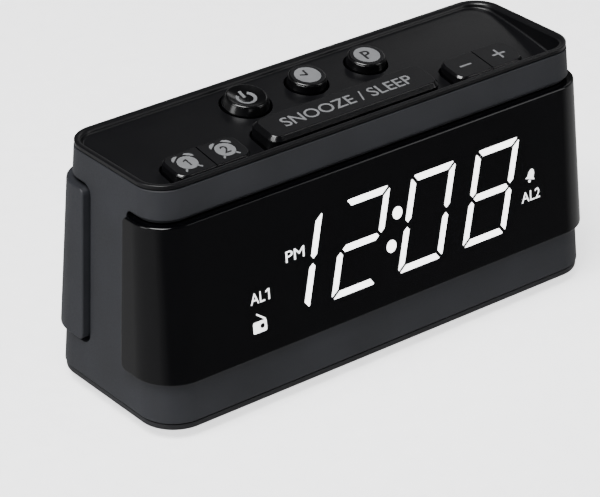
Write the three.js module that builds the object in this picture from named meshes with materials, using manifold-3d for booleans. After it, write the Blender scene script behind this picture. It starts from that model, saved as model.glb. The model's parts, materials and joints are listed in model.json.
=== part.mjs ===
// A bedside clock radio: a drafted charcoal case with a black window round its front, a rear cover
// round its back, a sloping key deck sunk into its top, and the works that go inside.
// Millimetres, +Z up, front towards -Y. The origin is the middle of the footprint, on the table.
import * as THREE from "three";
import { mergeVertices } from "three/addons/utils/BufferGeometryUtils.js";
import Module from "manifold-3d";

const wasm = await Module();
wasm.setup();

// ---- Driving dimensions -------------------------------------------------------------------------

// Case
const FOOT_HEIGHT = 2.5;
const CASE_WIDTH = 132.6; // at the underside of the base plate
const CASE_DEPTH = 47.4; // at the underside of the base plate
const CASE_HEIGHT = 60.4; // underside of the base plate to the rim of the top panel
const RIM_LENGTH = 126.5; // width of the case at the rim
const RIM_DEPTH = 36.55; // depth of the case at the rim
const CORNER_RADIUS = 9.6; // of the upright corners, at the underside
const RIM_CORNER = 7.3; // of the upright corners, at the rim
const WALL = 2.6;
const LIP_WALL = 1.0; // the case wall thins to this where the top panel drops in
const LIP_DEPTH = 8.0;
const CLEARANCE = 0.3; // between pieces that seat on, or slide past, each other

// Base plate and feet
const PLATE_THICKNESS = 1.6;
const PLATE_INSET = 0.4;
const TONGUE_HEIGHT = 2.2; // of the ring on the plate that locates it inside the case
const TONGUE_WALL = 1.4;
const FOOT_RADIUS = 4.0;
const FOOT_INSET_X = 16.3; // from the end of the case to the middle of a foot
const FOOT_INSET_Y = 10.7;
const BOSS_RADIUS = 3.2;
const BOSS_HEIGHT = 14.0;
const BOSS_STANDOFF_X = 0.9; // between a screw boss and the inside of the end wall
const BOSS_STANDOFF_Y = 4.4; // between a screw boss and the inside of the front or back wall
const CASE_SCREW_RADIUS = 1.2;
const CASE_SCREW_LENGTH = 9.0;
const SCREW_HEAD_RADIUS = 2.4;
const SCREW_HEAD_HEIGHT = 1.0;

// Front window and rear cover: two U-shaped shells that stand proud of the case
const SHELL_RISE = 12.2; // of the shells' lower edges above the underside of the plate
const SHELL_DROP = 9.5; // of the shells' upper edges below the rim
const SHELL_END = 7.7; // distance of each shell's upright end from the middle of the depth
const SHELL_PROUD = 1.37;
const SHELL_SINK = 1.2; // how far each shell reaches into the case wall
const SHELL_FLANGE = 0.5; // thickness of the flange in the groove round each shell
const GROOVE = 1.1; // width of the groove
const SHELL_CORNER = 1.6;

// Top panel
const RIM_THICKNESS = 1.0;
const RIM_WIDTH = 1.8;
const PANEL_WALL = 0.8;
const FLOOR_THICKNESS = 1.6;
const PANEL_SKIRT = 7.6; // how far the panel drops into the case

// Key deck: the floor of the panel slopes down to the front and is slightly crowned
const DECK_DROP = 3.3; // of the middle of the floor below the rim
const DECK_TILT = THREE.MathUtils.degToRad(9.5);
const DECK_CROWN_RADIUS = 190.0;
const KEY_TRAVEL = 0.7;
const KEY_GAP = 0.5; // between a key and the edge of its hole
const SPLIT_GAP = 0.35; // between the two keys of a pair
const KEY_FLANGE = 0.8; // thickness of the flange that stops a key from coming out
const FLANGE_REACH = 0.8; // how far the flange passes the edge of the hole
const PAIR_X = 41.4;
const PAIR_Y = -7.45; // along the deck
const PAIR_WIDTH = 20.8;
const PAIR_DEPTH = 9.3;
const PAIR_RISE = 2.5; // of the key tops above the deck
const SNOOZE_Y = -6.75;
const SNOOZE_WIDTH = 50.8;
const SNOOZE_DEPTH = 10.1;
const SNOOZE_RISE = 3.7;
const KEY_CORNER = 2.8;
const BUTTON_Y = 8.3;
const BUTTON_PITCH = 18.15;
const BUTTON_RISE = 2.28;
const BUTTON_RADIUS = 4.6;
const POWER_RADIUS = 5.05;
const POWER_SKIRT = 0.85; // how far the foot of the power button is wider than its top
const BUTTON_SKIRT = 0.4;
const DISH_DEPTH = 0.9;
const KEY_EDGE = 0.5; // chamfer round the key tops
const SNOOZE_EDGE = 1.0;

// Switches under the keys
const SWITCH_SIZE = 6.2;
const SWITCH_HEIGHT = 2.6;
const PLUNGER_RADIUS = 1.7;
const PLUNGER_LENGTH = 1.7;
const BOARD_THICKNESS = 1.6;
const KEY_BOARD_WIDTH = 112.0;
const KEY_BOARD_DEPTH = 25.0;
const KEY_BOARD_SCREW_X = 46.0;
const KEY_BOARD_SCREW_Y = 7.0;
const BOARD_SCREW_RADIUS = 0.9;
const BOARD_SCREW_LENGTH = 5.5;
const BOARD_HEAD_RADIUS = 1.8;
const BOARD_HEAD_HEIGHT = 1.2;
const CROSS_SLOT = 0.5; // width and depth of the slots in the screw heads

// Display
const DISPLAY_SETTLE = 0.4; // of the middle of the digits below the middle of the window
const DISPLAY_X = 2.0;
const DISPLAY_WIDTH = 96.0;
const DISPLAY_TALL = 26.4;
const DIGIT_PITCH = 20.2;
const DIGIT_WIDTH = 12.0; // between the middles of the upright segments
const DIGIT_HALF = 11.45; // from the middle segment to the top one
const DIGIT_SLANT = 0.245; // sideways shift for each millimetre up
const SEGMENT_WIDTH = 1.8;
const SEGMENT_GAP = 0.5;
const COLON_RISE = 3.95;
const COLON_RADIUS = 1.5;
const DIFFUSER_THICKNESS = 0.4;
const REFLECTOR_DEPTH = 5.4;

// Speaker, sockets and battery
const SPEAKER_X = -28.0;
const SPEAKER_SETTLE = 2.05; // of the speaker below the middle of the rear cover
const SPEAKER_RADIUS = 17.5;
const SPEAKER_DEPTH = 7.0;
const MAGNET_RADIUS = 9.5;
const MAGNET_DEPTH = 5.0;
const SPEAKER_RIM = 2.5; // width of the flat ring that seats on the back wall
const GRILLE_SLOT = 1.6;
const GRILLE_PITCH = 3.3;
const SOCKET_X = 34.0;
const SOCKET_SETTLE = 10.05; // of the socket and the grommet below the middle of the cover
const SOCKET_BORE = 2.8;
const SOCKET_NOSE = 3.9;
const SOCKET_PIN = 1.0;
const SOCKET_BODY = 10.0;
const GROMMET_X = 48.0;
const GROMMET_RADIUS = 2.6;
const GROMMET_BORE = 0.8;
const CELL_X = 30.0;
const CELL_RADIUS = 10.0;
const CELL_HEIGHT = 3.2;
const DOOR_RADIUS = 11.2;
const LUG_REACH = 1.4;
const LUG_WIDTH = 4.4;
const LUG_THICKNESS = 0.8;
const WELL_ROOM = 2.4; // height left for the door's lugs and the contact spring
const MAIN_BOARD_X = -22.0;
const MAIN_BOARD_WIDTH = 66.0;
const MAIN_BOARD_DEPTH = 29.0;
const STANDOFF_RADIUS = 2.4;
const STANDOFF_HEIGHT = 5.4; // from the plate to the underside of the main board
const HEADER_X = 18.0; // of the cable header, from the middle of the main board
const HEADER_Y = -8.0;
const HEADER_HEIGHT = 3.0;
const CABLE_WIDTH = 12.0;
const CABLE_THICKNESS = 0.4;

const ARC_STEPS = 5; // segments in each quarter turn of a large corner
const SMALL_SIDES = 12; // of pegs, plungers and screws
const ROUND_SIDES = 24; // of buttons, feet, the speaker and the cell
const FAR = 200.0; // reach of a cutting tool past everything

// ---- Levels that follow from them ---------------------------------------------------------------

const RIM_TOP = FOOT_HEIGHT + CASE_HEIGHT;
const END_DRAFT = (CASE_WIDTH - RIM_LENGTH) / 2 / CASE_HEIGHT; // lean of each end, mm for each mm up
const FACE_DRAFT = (CASE_DEPTH - RIM_DEPTH) / 2 / CASE_HEIGHT;
const CORNER_DRAFT = (CORNER_RADIUS - RIM_CORNER) / CASE_HEIGHT;
const FOOT_X = CASE_WIDTH / 2 - FOOT_INSET_X;
const FOOT_Y = CASE_DEPTH / 2 - FOOT_INSET_Y;
const BOSS_X = CASE_WIDTH / 2 - WALL - BOSS_STANDOFF_X - BOSS_RADIUS;
const BOSS_Y = CASE_DEPTH / 2 - WALL - BOSS_STANDOFF_Y - BOSS_RADIUS;
const SHELL_BOTTOM = FOOT_HEIGHT + SHELL_RISE;
const SHELL_TOP = RIM_TOP - SHELL_DROP;
const SHELL_MIDDLE = (SHELL_BOTTOM + SHELL_TOP) / 2;
const DISPLAY_HEIGHT = SHELL_MIDDLE - DISPLAY_SETTLE;
const SPEAKER_Z = SHELL_MIDDLE - SPEAKER_SETTLE;
const SOCKET_Z = SHELL_MIDDLE - SOCKET_SETTLE;
const GRILLE_RADIUS = SPEAKER_RADIUS - SPEAKER_RIM;
const DECK_HEIGHT = RIM_TOP - DECK_DROP;
const MAIN_BOARD_Z = FOOT_HEIGHT + PLATE_THICKNESS + STANDOFF_HEIGHT;
const CASE_BOTTOM = FOOT_HEIGHT + PLATE_THICKNESS + CLEARANCE;
const CASE_TOP = RIM_TOP - RIM_THICKNESS - CLEARANCE;
const LIP_BOTTOM = CASE_TOP - LIP_DEPTH;
const FLANGE_TOP = -FLOOR_THICKNESS - 3 * CLEARANCE; // of the keys' flanges, on the deck
const FLANGE_BOTTOM = FLANGE_TOP - KEY_FLANGE;
const PLUNGER_TOP = FLANGE_BOTTOM - 2 * CLEARANCE;
const SWITCH_TOP = PLUNGER_TOP - KEY_TRAVEL;
const KEY_BOARD_TOP = SWITCH_TOP - SWITCH_HEIGHT - CLEARANCE;

// ---- Solids -------------------------------------------------------------------------------------

function solid(geometry) {
  const bare = geometry.index ? geometry.toNonIndexed() : geometry.clone();
  bare.deleteAttribute("normal");
  bare.deleteAttribute("uv");
  const merged = mergeVertices(bare, 1e-4);
  const mesh = new wasm.Mesh({
    numProp: 3,
    vertProperties: new Float32Array(merged.attributes.position.array),
    triVerts: new Uint32Array(merged.index.array),
  });
  return new wasm.Manifold(mesh);
}

function geometryOf(body) {
  const mesh = body.getMesh();
  const geometry = new THREE.BufferGeometry();
  geometry.setAttribute("position", new THREE.BufferAttribute(new Float32Array(mesh.vertProperties), 3));
  geometry.setIndex(new THREE.BufferAttribute(new Uint32Array(mesh.triVerts), 1));
  geometry.computeVertexNormals();
  return geometry;
}

function join(first, ...others) {
  return others.reduce((sum, next) => sum.add(next), first);
}

function cut(first, ...tools) {
  return tools.reduce((rest, tool) => rest.subtract(tool), first);
}

function box([x0, x1], [y0, y1], [z0, z1]) {
  const geometry = new THREE.BoxGeometry(x1 - x0, y1 - y0, z1 - z0);
  geometry.translate((x0 + x1) / 2, (y0 + y1) / 2, (z0 + z1) / 2);
  return geometry;
}

// A slab of the given size, centred on x and y.
function slab(x, y, width, depth, bottom, top) {
  return box([x - width / 2, x + width / 2], [y - depth / 2, y + depth / 2], [bottom, top]);
}

function rod(x, y, radius, bottom, top, sides = SMALL_SIDES) {
  const geometry = new THREE.CylinderGeometry(radius, radius, top - bottom, sides);
  geometry.rotateX(Math.PI / 2);
  geometry.translate(x, y, (bottom + top) / 2);
  return geometry;
}

// A rod that lies along y.
function peg(x, z, radius, front, rear, sides = SMALL_SIDES) {
  const geometry = new THREE.CylinderGeometry(radius, radius, rear - front, sides);
  geometry.translate(x, (front + rear) / 2, z);
  return geometry;
}

// A body of revolution about an upright axis; the profile is a list of [radius, height].
function turned(x, y, profile, sides = ROUND_SIDES) {
  const points = profile.map(([radius, height]) => new THREE.Vector2(radius, height));
  const geometry = new THREE.LatheGeometry(points, sides);
  geometry.rotateX(Math.PI / 2);
  geometry.translate(x, y, 0);
  return geometry;
}

function roundedRectangle({ a, b, r }) {
  const shape = new THREE.Shape();
  shape.absarc(a - r, b - r, r, 0, Math.PI / 2);
  shape.absarc(r - a, b - r, r, Math.PI / 2, Math.PI);
  shape.absarc(r - a, r - b, r, Math.PI, 1.5 * Math.PI);
  shape.absarc(a - r, r - b, r, 1.5 * Math.PI, 2 * Math.PI);
  shape.closePath();
  return shape;
}

// Moves a coordinate of one rounded rectangle's outline to where it lies on another's.
function reshape(value, half, radius, newHalf, newRadius) {
  const straight = half - radius;
  const core = THREE.MathUtils.clamp(value, -straight, straight);
  return (core * (newHalf - newRadius)) / straight + ((value - core) * newRadius) / radius;
}

// A block whose outline changes from one rounded rectangle to another on its way up.
function taperedBlock(low, high, bottom, top, steps = ARC_STEPS) {
  const options = { depth: top - bottom, bevelEnabled: false, curveSegments: steps };
  const geometry = new THREE.ExtrudeGeometry(roundedRectangle(low), options);
  const position = geometry.getAttribute("position");
  for (let i = 0; i < position.count; i++) {
    if (position.getZ(i) > 0) {
      position.setX(i, reshape(position.getX(i), low.a, low.r, high.a, high.r));
      position.setY(i, reshape(position.getY(i), low.b, low.r, high.b, high.r));
    }
  }
  geometry.translate(0, 0, bottom);
  return geometry;
}

// The case's outer outline at a height, moved out by an offset.
function caseOutline(height, offset) {
  const up = height - FOOT_HEIGHT;
  return {
    a: CASE_WIDTH / 2 - END_DRAFT * up + offset,
    b: CASE_DEPTH / 2 - FACE_DRAFT * up + offset,
    r: CORNER_RADIUS - CORNER_DRAFT * up + offset,
  };
}

function caseBlock(offset, bottom, top) {
  return solid(taperedBlock(caseOutline(bottom, offset), caseOutline(top, offset), bottom, top));
}

// A prism that runs the whole width, from an outline drawn in the plane of depth and height.
function acrossWidth(shape, reach = FAR) {
  const options = { depth: 2 * reach, bevelEnabled: false, curveSegments: 3 };
  const geometry = new THREE.ExtrudeGeometry(shape, options);
  geometry.translate(0, 0, -reach);
  geometry.rotateX(Math.PI / 2);
  geometry.rotateZ(Math.PI / 2);
  return geometry;
}

// ---- Materials ----------------------------------------------------------------------------------

function finish(color, roughness, metalness = 0) {
  return new THREE.MeshStandardMaterial({ color, roughness, metalness });
}

const CHARCOAL = finish(0x34353a, 0.5);
const BLACK_SATIN = finish(0x17181a, 0.35);
const BLACK_GLOSS = finish(0x060607, 0.06);
const BASE_GREY = finish(0x4c4c4f, 0.55);
const KEY_BLACK = finish(0x1b1c1e, 0.4);
const RUBBER = finish(0x101010, 0.9);
const WHITE = finish(0xf2f4f5, 0.6);
const BOARD_GREEN = finish(0x1d5a3a, 0.5);
const STEEL = finish(0x9a9ca0, 0.3, 1);
const MAGNET_GREY = finish(0x3c3c40, 0.5, 1);
const PAPER = finish(0x202022, 0.9);
const CABLE_WHITE = finish(0xd8d8d4, 0.5);

const clock = new THREE.Group();

function addPart(name, body, material, group = clock) {
  const mesh = new THREE.Mesh(geometryOf(body), material);
  mesh.name = name;
  group.add(mesh);
}

// Groups that lean with the face, the back and the deck. In the face and back groups, y runs out of
// the case wall and z runs up it; on the deck, z stands square on the floor of the panel.
function leaningGroup(y, z, tilt) {
  const group = new THREE.Group();
  group.position.set(0, y, z);
  group.rotation.x = tilt;
  group.updateMatrix();
  clock.add(group);
  return group;
}

const faceLean = Math.atan(FACE_DRAFT);
const face = leaningGroup(-caseOutline(DISPLAY_HEIGHT, 0).b, DISPLAY_HEIGHT, -faceLean);
const back = leaningGroup(caseOutline(SPEAKER_Z, 0).b, SPEAKER_Z, faceLean);
const deck = leaningGroup(0, DECK_HEIGHT, DECK_TILT);

function placed(group, geometry) {
  return solid(geometry.clone().applyMatrix4(group.matrix));
}

// ---- Key sizes on the deck ----------------------------------------------------------------------

const PAIR = { a: PAIR_WIDTH / 2, b: PAIR_DEPTH / 2, r: KEY_CORNER };
const SNOOZE = { a: SNOOZE_WIDTH / 2, b: SNOOZE_DEPTH / 2, r: KEY_CORNER };

function grown(outline, offset) {
  return { a: outline.a + offset, b: outline.b + offset, r: outline.r + offset };
}

const ROUND_KEYS = [
  { name: "power_button", x: -BUTTON_PITCH, radius: POWER_RADIUS, skirt: POWER_SKIRT, dish: DISH_DEPTH },
  { name: "clock_button", x: 0, radius: BUTTON_RADIUS, skirt: BUTTON_SKIRT, dish: 0 },
  { name: "preset_button", x: BUTTON_PITCH, radius: BUTTON_RADIUS, skirt: BUTTON_SKIRT, dish: 0 },
];

const PAIR_KEYS = [
  { name: "alarm_1_key", pair: -PAIR_X, side: -1 },
  { name: "alarm_2_key", pair: -PAIR_X, side: 1 },
  { name: "minus_key", pair: PAIR_X, side: -1 },
  { name: "plus_key", pair: PAIR_X, side: 1 },
];

function holeRadius(key) {
  return key.radius + key.skirt + KEY_GAP;
}

// ---- Case ---------------------------------------------------------------------------------------

// The side view of a shell: upright end at SHELL_END, rounded corners there, open towards the front
// or, with side 1, the back.
function shellSide(side, grow) {
  const half = (SHELL_TOP - SHELL_BOTTOM) / 2 + grow;
  const outline = { a: FAR / 2, b: half, r: SHELL_CORNER + grow };
  const geometry = acrossWidth(roundedRectangle(outline));
  geometry.translate(0, side * (SHELL_END - grow + FAR / 2), SHELL_MIDDLE);
  return solid(geometry);
}

function shellBetween(side, inner, outer, grow) {
  const margin = 2 * GROOVE;
  const low = SHELL_BOTTOM - margin;
  const high = SHELL_TOP + margin;
  const ring = caseBlock(outer, low, high).subtract(caseBlock(inner, low - 1, high + 1));
  return ring.intersect(shellSide(side, grow));
}

function shell(side) {
  const plate = shellBetween(side, -SHELL_SINK, SHELL_PROUD, 0);
  const flange = shellBetween(side, -SHELL_SINK, SHELL_FLANGE - SHELL_SINK, GROOVE - CLEARANCE);
  return join(plate, flange);
}

function caseBosses() {
  const bottom = CASE_BOTTOM + TONGUE_HEIGHT + CLEARANCE;
  const inside = caseBlock(-WALL / 2, CASE_BOTTOM, LIP_BOTTOM);
  const bosses = [];
  for (const sx of [-1, 1]) {
    for (const sy of [-1, 1]) {
      const post = solid(rod(sx * BOSS_X, sy * BOSS_Y, BOSS_RADIUS, bottom, bottom + BOSS_HEIGHT));
      const web = slab(
        sx * (BOSS_X + WALL), sy * BOSS_Y, 2 * BOSS_RADIUS, WALL, bottom, bottom + BOSS_HEIGHT,
      );
      bosses.push(join(post, solid(web)).intersect(inside));
    }
  }
  return bosses;
}

function caseScrewHoles(bottom, top, radius) {
  const holes = [];
  for (const sx of [-1, 1]) {
    for (const sy of [-1, 1]) {
      holes.push(solid(rod(sx * BOSS_X, sy * BOSS_Y, radius, bottom, top)));
    }
  }
  return holes;
}

// A round tool through the back wall, square to it.
function backHole(x, z, radius, sides) {
  return placed(back, peg(x, z - SPEAKER_Z, radius, -3 * WALL, 3 * WALL, sides));
}

function housing() {
  const pocketDepth = -SHELL_SINK - CLEARANCE;
  const pockets = [-1, 1].map((side) => shellBetween(side, pocketDepth, SHELL_PROUD + 1, GROOVE));
  const windowWidth = DISPLAY_WIDTH + 2 * CLEARANCE;
  const windowHalf = DISPLAY_TALL / 2 + CLEARANCE;
  const sleeve = cut(
    caseBlock(0, CASE_BOTTOM, CASE_TOP),
    caseBlock(-WALL, CASE_BOTTOM - 1, CASE_TOP + 1),
    caseBlock(-LIP_WALL, LIP_BOTTOM, CASE_TOP + 1),
    ...pockets,
    placed(face, slab(DISPLAY_X, 0, windowWidth, 4 * WALL, -windowHalf, windowHalf)),
    backHole(SPEAKER_X, SPEAKER_Z, GRILLE_RADIUS + 2 * CLEARANCE, ROUND_SIDES),
    backHole(SOCKET_X, SOCKET_Z, SOCKET_NOSE + CLEARANCE, SMALL_SIDES),
    backHole(GROMMET_X, SOCKET_Z, GROMMET_RADIUS + CLEARANCE, SMALL_SIDES),
  );
  const pilotTop = CASE_BOTTOM + CASE_SCREW_LENGTH + 2;
  const pilots = caseScrewHoles(CASE_BOTTOM - 1, pilotTop, CASE_SCREW_RADIUS + CLEARANCE);
  return cut(join(sleeve, ...caseBosses()), ...pilots);
}

function rearCover() {
  const slots = [];
  const rows = Math.floor(GRILLE_RADIUS / GRILLE_PITCH);
  for (let row = -rows; row <= rows; row++) {
    const z = row * GRILLE_PITCH;
    const length = 2 * Math.sqrt(GRILLE_RADIUS ** 2 - z ** 2) - GRILLE_SLOT;
    const slot = slab(SPEAKER_X, 0, length, 3 * WALL, z - GRILLE_SLOT / 2, z + GRILLE_SLOT / 2);
    slots.push(placed(back, slot));
  }
  return cut(
    shell(1),
    ...slots,
    backHole(SOCKET_X, SOCKET_Z, SOCKET_BORE + 2 * CLEARANCE, SMALL_SIDES),
    backHole(GROMMET_X, SOCKET_Z, GROMMET_RADIUS + CLEARANCE, SMALL_SIDES),
  );
}

addPart("housing", housing(), CHARCOAL);
addPart("front_lens", shell(-1), BLACK_GLOSS);
addPart("rear_cover", rearCover(), CHARCOAL);

// ---- Base plate, feet, screws and battery --------------------------------------------------------

const PLATE_TOP = FOOT_HEIGHT + PLATE_THICKNESS;
const WELL_TOP = PLATE_TOP + CELL_HEIGHT + WELL_ROOM; // underside of the roof of the battery well
const WELL_RADIUS = DOOR_RADIUS + CLEARANCE;
const LUG_RADIUS = DOOR_RADIUS + LUG_REACH;
const LUG_BOTTOM = FOOT_HEIGHT + PLATE_THICKNESS + CLEARANCE;
const LUG_TOP = LUG_BOTTOM + LUG_THICKNESS;
const WELL_OUTER = LUG_RADIUS + CLEARANCE + TONGUE_WALL;

function wellLugs(radius, width, bottom, top, turn) {
  const bar = slab(0, 0, 2 * radius, width, bottom, top);
  const disc = rod(0, 0, radius, bottom, top, ROUND_SIDES);
  const lugs = solid(bar.rotateZ(turn)).intersect(solid(disc));
  return lugs.translate([CELL_X, 0, 0]);
}

function basePlate() {
  const plate = caseBlock(-PLATE_INSET, FOOT_HEIGHT, PLATE_TOP);
  const tongueTop = PLATE_TOP + TONGUE_HEIGHT;
  const tongueOuter = caseBlock(-WALL - CLEARANCE, PLATE_TOP - 0.5, tongueTop);
  const tongueInner = caseBlock(-WALL - CLEARANCE - TONGUE_WALL, PLATE_TOP - 1, tongueTop + 1);
  const well = solid(rod(CELL_X, 0, WELL_OUTER, PLATE_TOP - 0.5, WELL_TOP + TONGUE_WALL, ROUND_SIDES));
  const standoffs = boardStandoffs(STANDOFF_RADIUS, PLATE_TOP - 0.5, MAIN_BOARD_Z - CLEARANCE);
  const headTop = FOOT_HEIGHT + SCREW_HEAD_HEIGHT + 2 * CLEARANCE;
  const body = join(plate, tongueOuter.subtract(tongueInner), well, ...standoffs);
  return cut(
    body,
    ...caseScrewHoles(FOOT_HEIGHT - 1, tongueTop + 1, CASE_SCREW_RADIUS + CLEARANCE),
    ...caseScrewHoles(FOOT_HEIGHT - 1, headTop - CLEARANCE, SCREW_HEAD_RADIUS + CLEARANCE),
    ...boardStandoffs(BOARD_SCREW_RADIUS + CLEARANCE, PLATE_TOP + 1, MAIN_BOARD_Z + 1),
    solid(rod(CELL_X, 0, WELL_RADIUS, FOOT_HEIGHT - 1, WELL_TOP, ROUND_SIDES)),
    solid(rod(CELL_X, 0, LUG_RADIUS + CLEARANCE, LUG_BOTTOM - CLEARANCE, LUG_TOP + CLEARANCE, ROUND_SIDES)),
    wellLugs(LUG_RADIUS + CLEARANCE, LUG_WIDTH + 2 * CLEARANCE, FOOT_HEIGHT - 1, LUG_TOP, Math.PI / 4),
  );
}

function boardStandoffs(radius, bottom, top) {
  const reachX = MAIN_BOARD_WIDTH / 2 - 2 * STANDOFF_RADIUS;
  return [-1, 1].map((side) => solid(rod(MAIN_BOARD_X + side * reachX, 0, radius, bottom, top)));
}

function batteryDoor() {
  const disc = solid(rod(CELL_X, 0, DOOR_RADIUS, FOOT_HEIGHT, LUG_TOP, ROUND_SIDES));
  const lugs = wellLugs(LUG_RADIUS, LUG_WIDTH, LUG_BOTTOM, LUG_TOP, 0);
  const coinSlot = slab(CELL_X, 0, 1.4 * DOOR_RADIUS, 2.0, FOOT_HEIGHT - 1, FOOT_HEIGHT + 0.9);
  return cut(join(disc, lugs), solid(coinSlot));
}

function cellContact(floor) {
  const strip = new THREE.Shape();
  const low = floor + CLEARANCE;
  const high = WELL_TOP - CLEARANCE;
  const thick = 0.3;
  strip.moveTo(-8, high - thick);
  strip.lineTo(-4, high - thick);
  strip.lineTo(0, low);
  strip.lineTo(4, high - thick);
  strip.lineTo(8, high - thick);
  strip.lineTo(8, high);
  strip.lineTo(4, high);
  strip.lineTo(0, low + thick);
  strip.lineTo(-4, high);
  strip.lineTo(-8, high);
  strip.closePath();
  const geometry = acrossWidth(strip, 2.5);
  geometry.rotateZ(Math.PI / 2);
  geometry.translate(CELL_X, 0, 0);
  return solid(geometry);
}

function screw(x, y, headBottom, headRadius, headHeight, shankRadius, length) {
  const profile = [
    [0, headBottom],
    [headRadius, headBottom],
    [headRadius, headBottom + headHeight],
    [shankRadius, headBottom + headHeight],
    [shankRadius, headBottom + headHeight + length],
    [0, headBottom + headHeight + length + shankRadius],
  ];
  const crossSlot = [
    slab(x, y, headRadius, CROSS_SLOT, headBottom - 1, headBottom + CROSS_SLOT),
    slab(x, y, CROSS_SLOT, headRadius, headBottom - 1, headBottom + CROSS_SLOT),
  ];
  return cut(solid(turned(x, y, profile, SMALL_SIDES)), ...crossSlot.map(solid));
}

addPart("base_plate", basePlate(), BASE_GREY);
addPart("battery_door", batteryDoor(), BASE_GREY);
const cellBottom = LUG_TOP + CLEARANCE;
const cellTop = cellBottom + CELL_HEIGHT;
addPart("coin_cell", solid(rod(CELL_X, 0, CELL_RADIUS, cellBottom, cellTop, ROUND_SIDES)), STEEL);
addPart("cell_contact", cellContact(cellTop), STEEL);

const CORNERS = [
  ["front_left", -1, -1],
  ["front_right", 1, -1],
  ["rear_left", -1, 1],
  ["rear_right", 1, 1],
];
for (const [place, sx, sy] of CORNERS) {
  const footProfile = [
    [0, 0],
    [FOOT_RADIUS - 0.4, 0],
    [FOOT_RADIUS, 0.4],
    [FOOT_RADIUS, FOOT_HEIGHT - CLEARANCE],
    [0, FOOT_HEIGHT - CLEARANCE],
  ];
  addPart(`foot_${place}`, solid(turned(sx * FOOT_X, sy * FOOT_Y, footProfile, ROUND_SIDES)), RUBBER);
  const head = FOOT_HEIGHT + CLEARANCE;
  const caseScrew = screw(
    sx * BOSS_X, sy * BOSS_Y, head, SCREW_HEAD_RADIUS, SCREW_HEAD_HEIGHT - CLEARANCE,
    CASE_SCREW_RADIUS, CASE_SCREW_LENGTH,
  );
  addPart(`case_screw_${place}`, caseScrew, STEEL);
}

// ---- Top panel and keys --------------------------------------------------------------------------

// The region over the crowned floor of the panel, lowered by an amount.
function aboveFloor(lowered) {
  const radius = DECK_CROWN_RADIUS;
  const reach = CASE_DEPTH;
  const sweep = Math.asin(reach / radius);
  const arc = new THREE.Shape();
  arc.absarc(0, -radius - lowered, radius, Math.PI / 2 - sweep, Math.PI / 2 + sweep);
  arc.lineTo(-reach, FAR);
  arc.lineTo(reach, FAR);
  arc.closePath();
  const geometry = new THREE.ExtrudeGeometry(arc, { depth: 2 * FAR, bevelEnabled: false, curveSegments: 9 });
  geometry.translate(0, 0, -FAR);
  geometry.rotateX(Math.PI / 2);
  geometry.rotateZ(Math.PI / 2);
  return placed(deck, geometry);
}

function keyHole(outline, x, y) {
  const hole = grown(outline, KEY_GAP);
  const geometry = taperedBlock(hole, hole, -3 * FLOOR_THICKNESS, 3 * FLOOR_THICKNESS, 3);
  geometry.translate(x, y, 0);
  return placed(deck, geometry);
}

function keyBoardPosts(radius, bottom, top) {
  return [-1, 1].map((side) => (
    placed(deck, rod(side * KEY_BOARD_SCREW_X, KEY_BOARD_SCREW_Y, radius, bottom, top))
  ));
}

function topPanel() {
  const skirtBottom = RIM_TOP - RIM_THICKNESS - PANEL_SKIRT;
  const rim = caseBlock(0, RIM_TOP - RIM_THICKNESS, RIM_TOP);
  const plug = caseBlock(-LIP_WALL - CLEARANCE, skirtBottom, RIM_TOP - RIM_THICKNESS / 2);
  const mouth = caseOutline(RIM_TOP, -RIM_WIDTH);
  const tray = solid(taperedBlock(mouth, mouth, skirtBottom - 9, RIM_TOP + 1)).intersect(aboveFloor(0));
  const inside = caseBlock(-LIP_WALL - CLEARANCE - PANEL_WALL, skirtBottom - 1, RIM_TOP - RIM_THICKNESS);
  const under = inside.subtract(aboveFloor(FLOOR_THICKNESS));
  const postBottom = KEY_BOARD_TOP + CLEARANCE;
  const posts = keyBoardPosts(2.2, postBottom, -FLOOR_THICKNESS / 2);
  const holes = [
    keyHole(PAIR, -PAIR_X, PAIR_Y),
    keyHole(PAIR, PAIR_X, PAIR_Y),
    keyHole(SNOOZE, 0, SNOOZE_Y),
    ...ROUND_KEYS.map((key) => placed(deck, rod(key.x, BUTTON_Y, holeRadius(key), -6, 6, ROUND_SIDES))),
  ];
  return cut(
    join(cut(join(rim, plug), tray, under), ...posts),
    ...holes,
    ...keyBoardPosts(BOARD_SCREW_RADIUS + CLEARANCE, postBottom - 1, -FLOOR_THICKNESS - 1),
  );
}

function stem(x, y, radius = PLUNGER_RADIUS) {
  return solid(rod(x, y, radius, PLUNGER_TOP + CLEARANCE, FLANGE_BOTTOM + 0.2));
}

// A straight-sided key: body, chamfered top and the flange under the panel.
function keyCap(outline, rise, edge) {
  const flange = grown(outline, KEY_GAP + FLANGE_REACH);
  return join(
    solid(taperedBlock(outline, outline, FLANGE_BOTTOM, rise - edge, 3)),
    solid(taperedBlock(outline, grown(outline, -edge), rise - edge, rise, 3)),
    solid(taperedBlock(flange, flange, FLANGE_BOTTOM, FLANGE_TOP, 3)),
  );
}

function pairKey(key) {
  const half = box(
    key.side < 0 ? [-PAIR_WIDTH, -SPLIT_GAP / 2] : [SPLIT_GAP / 2, PAIR_WIDTH],
    [-PAIR_DEPTH, PAIR_DEPTH],
    [-FAR, FAR],
  );
  const cap = keyCap(PAIR, PAIR_RISE, KEY_EDGE).intersect(solid(half));
  return join(cap.translate([key.pair, PAIR_Y, 0]), stem(keyX(key), PAIR_Y));
}

function keyX(key) {
  return key.pair + (key.side * PAIR_WIDTH) / 4;
}

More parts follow.
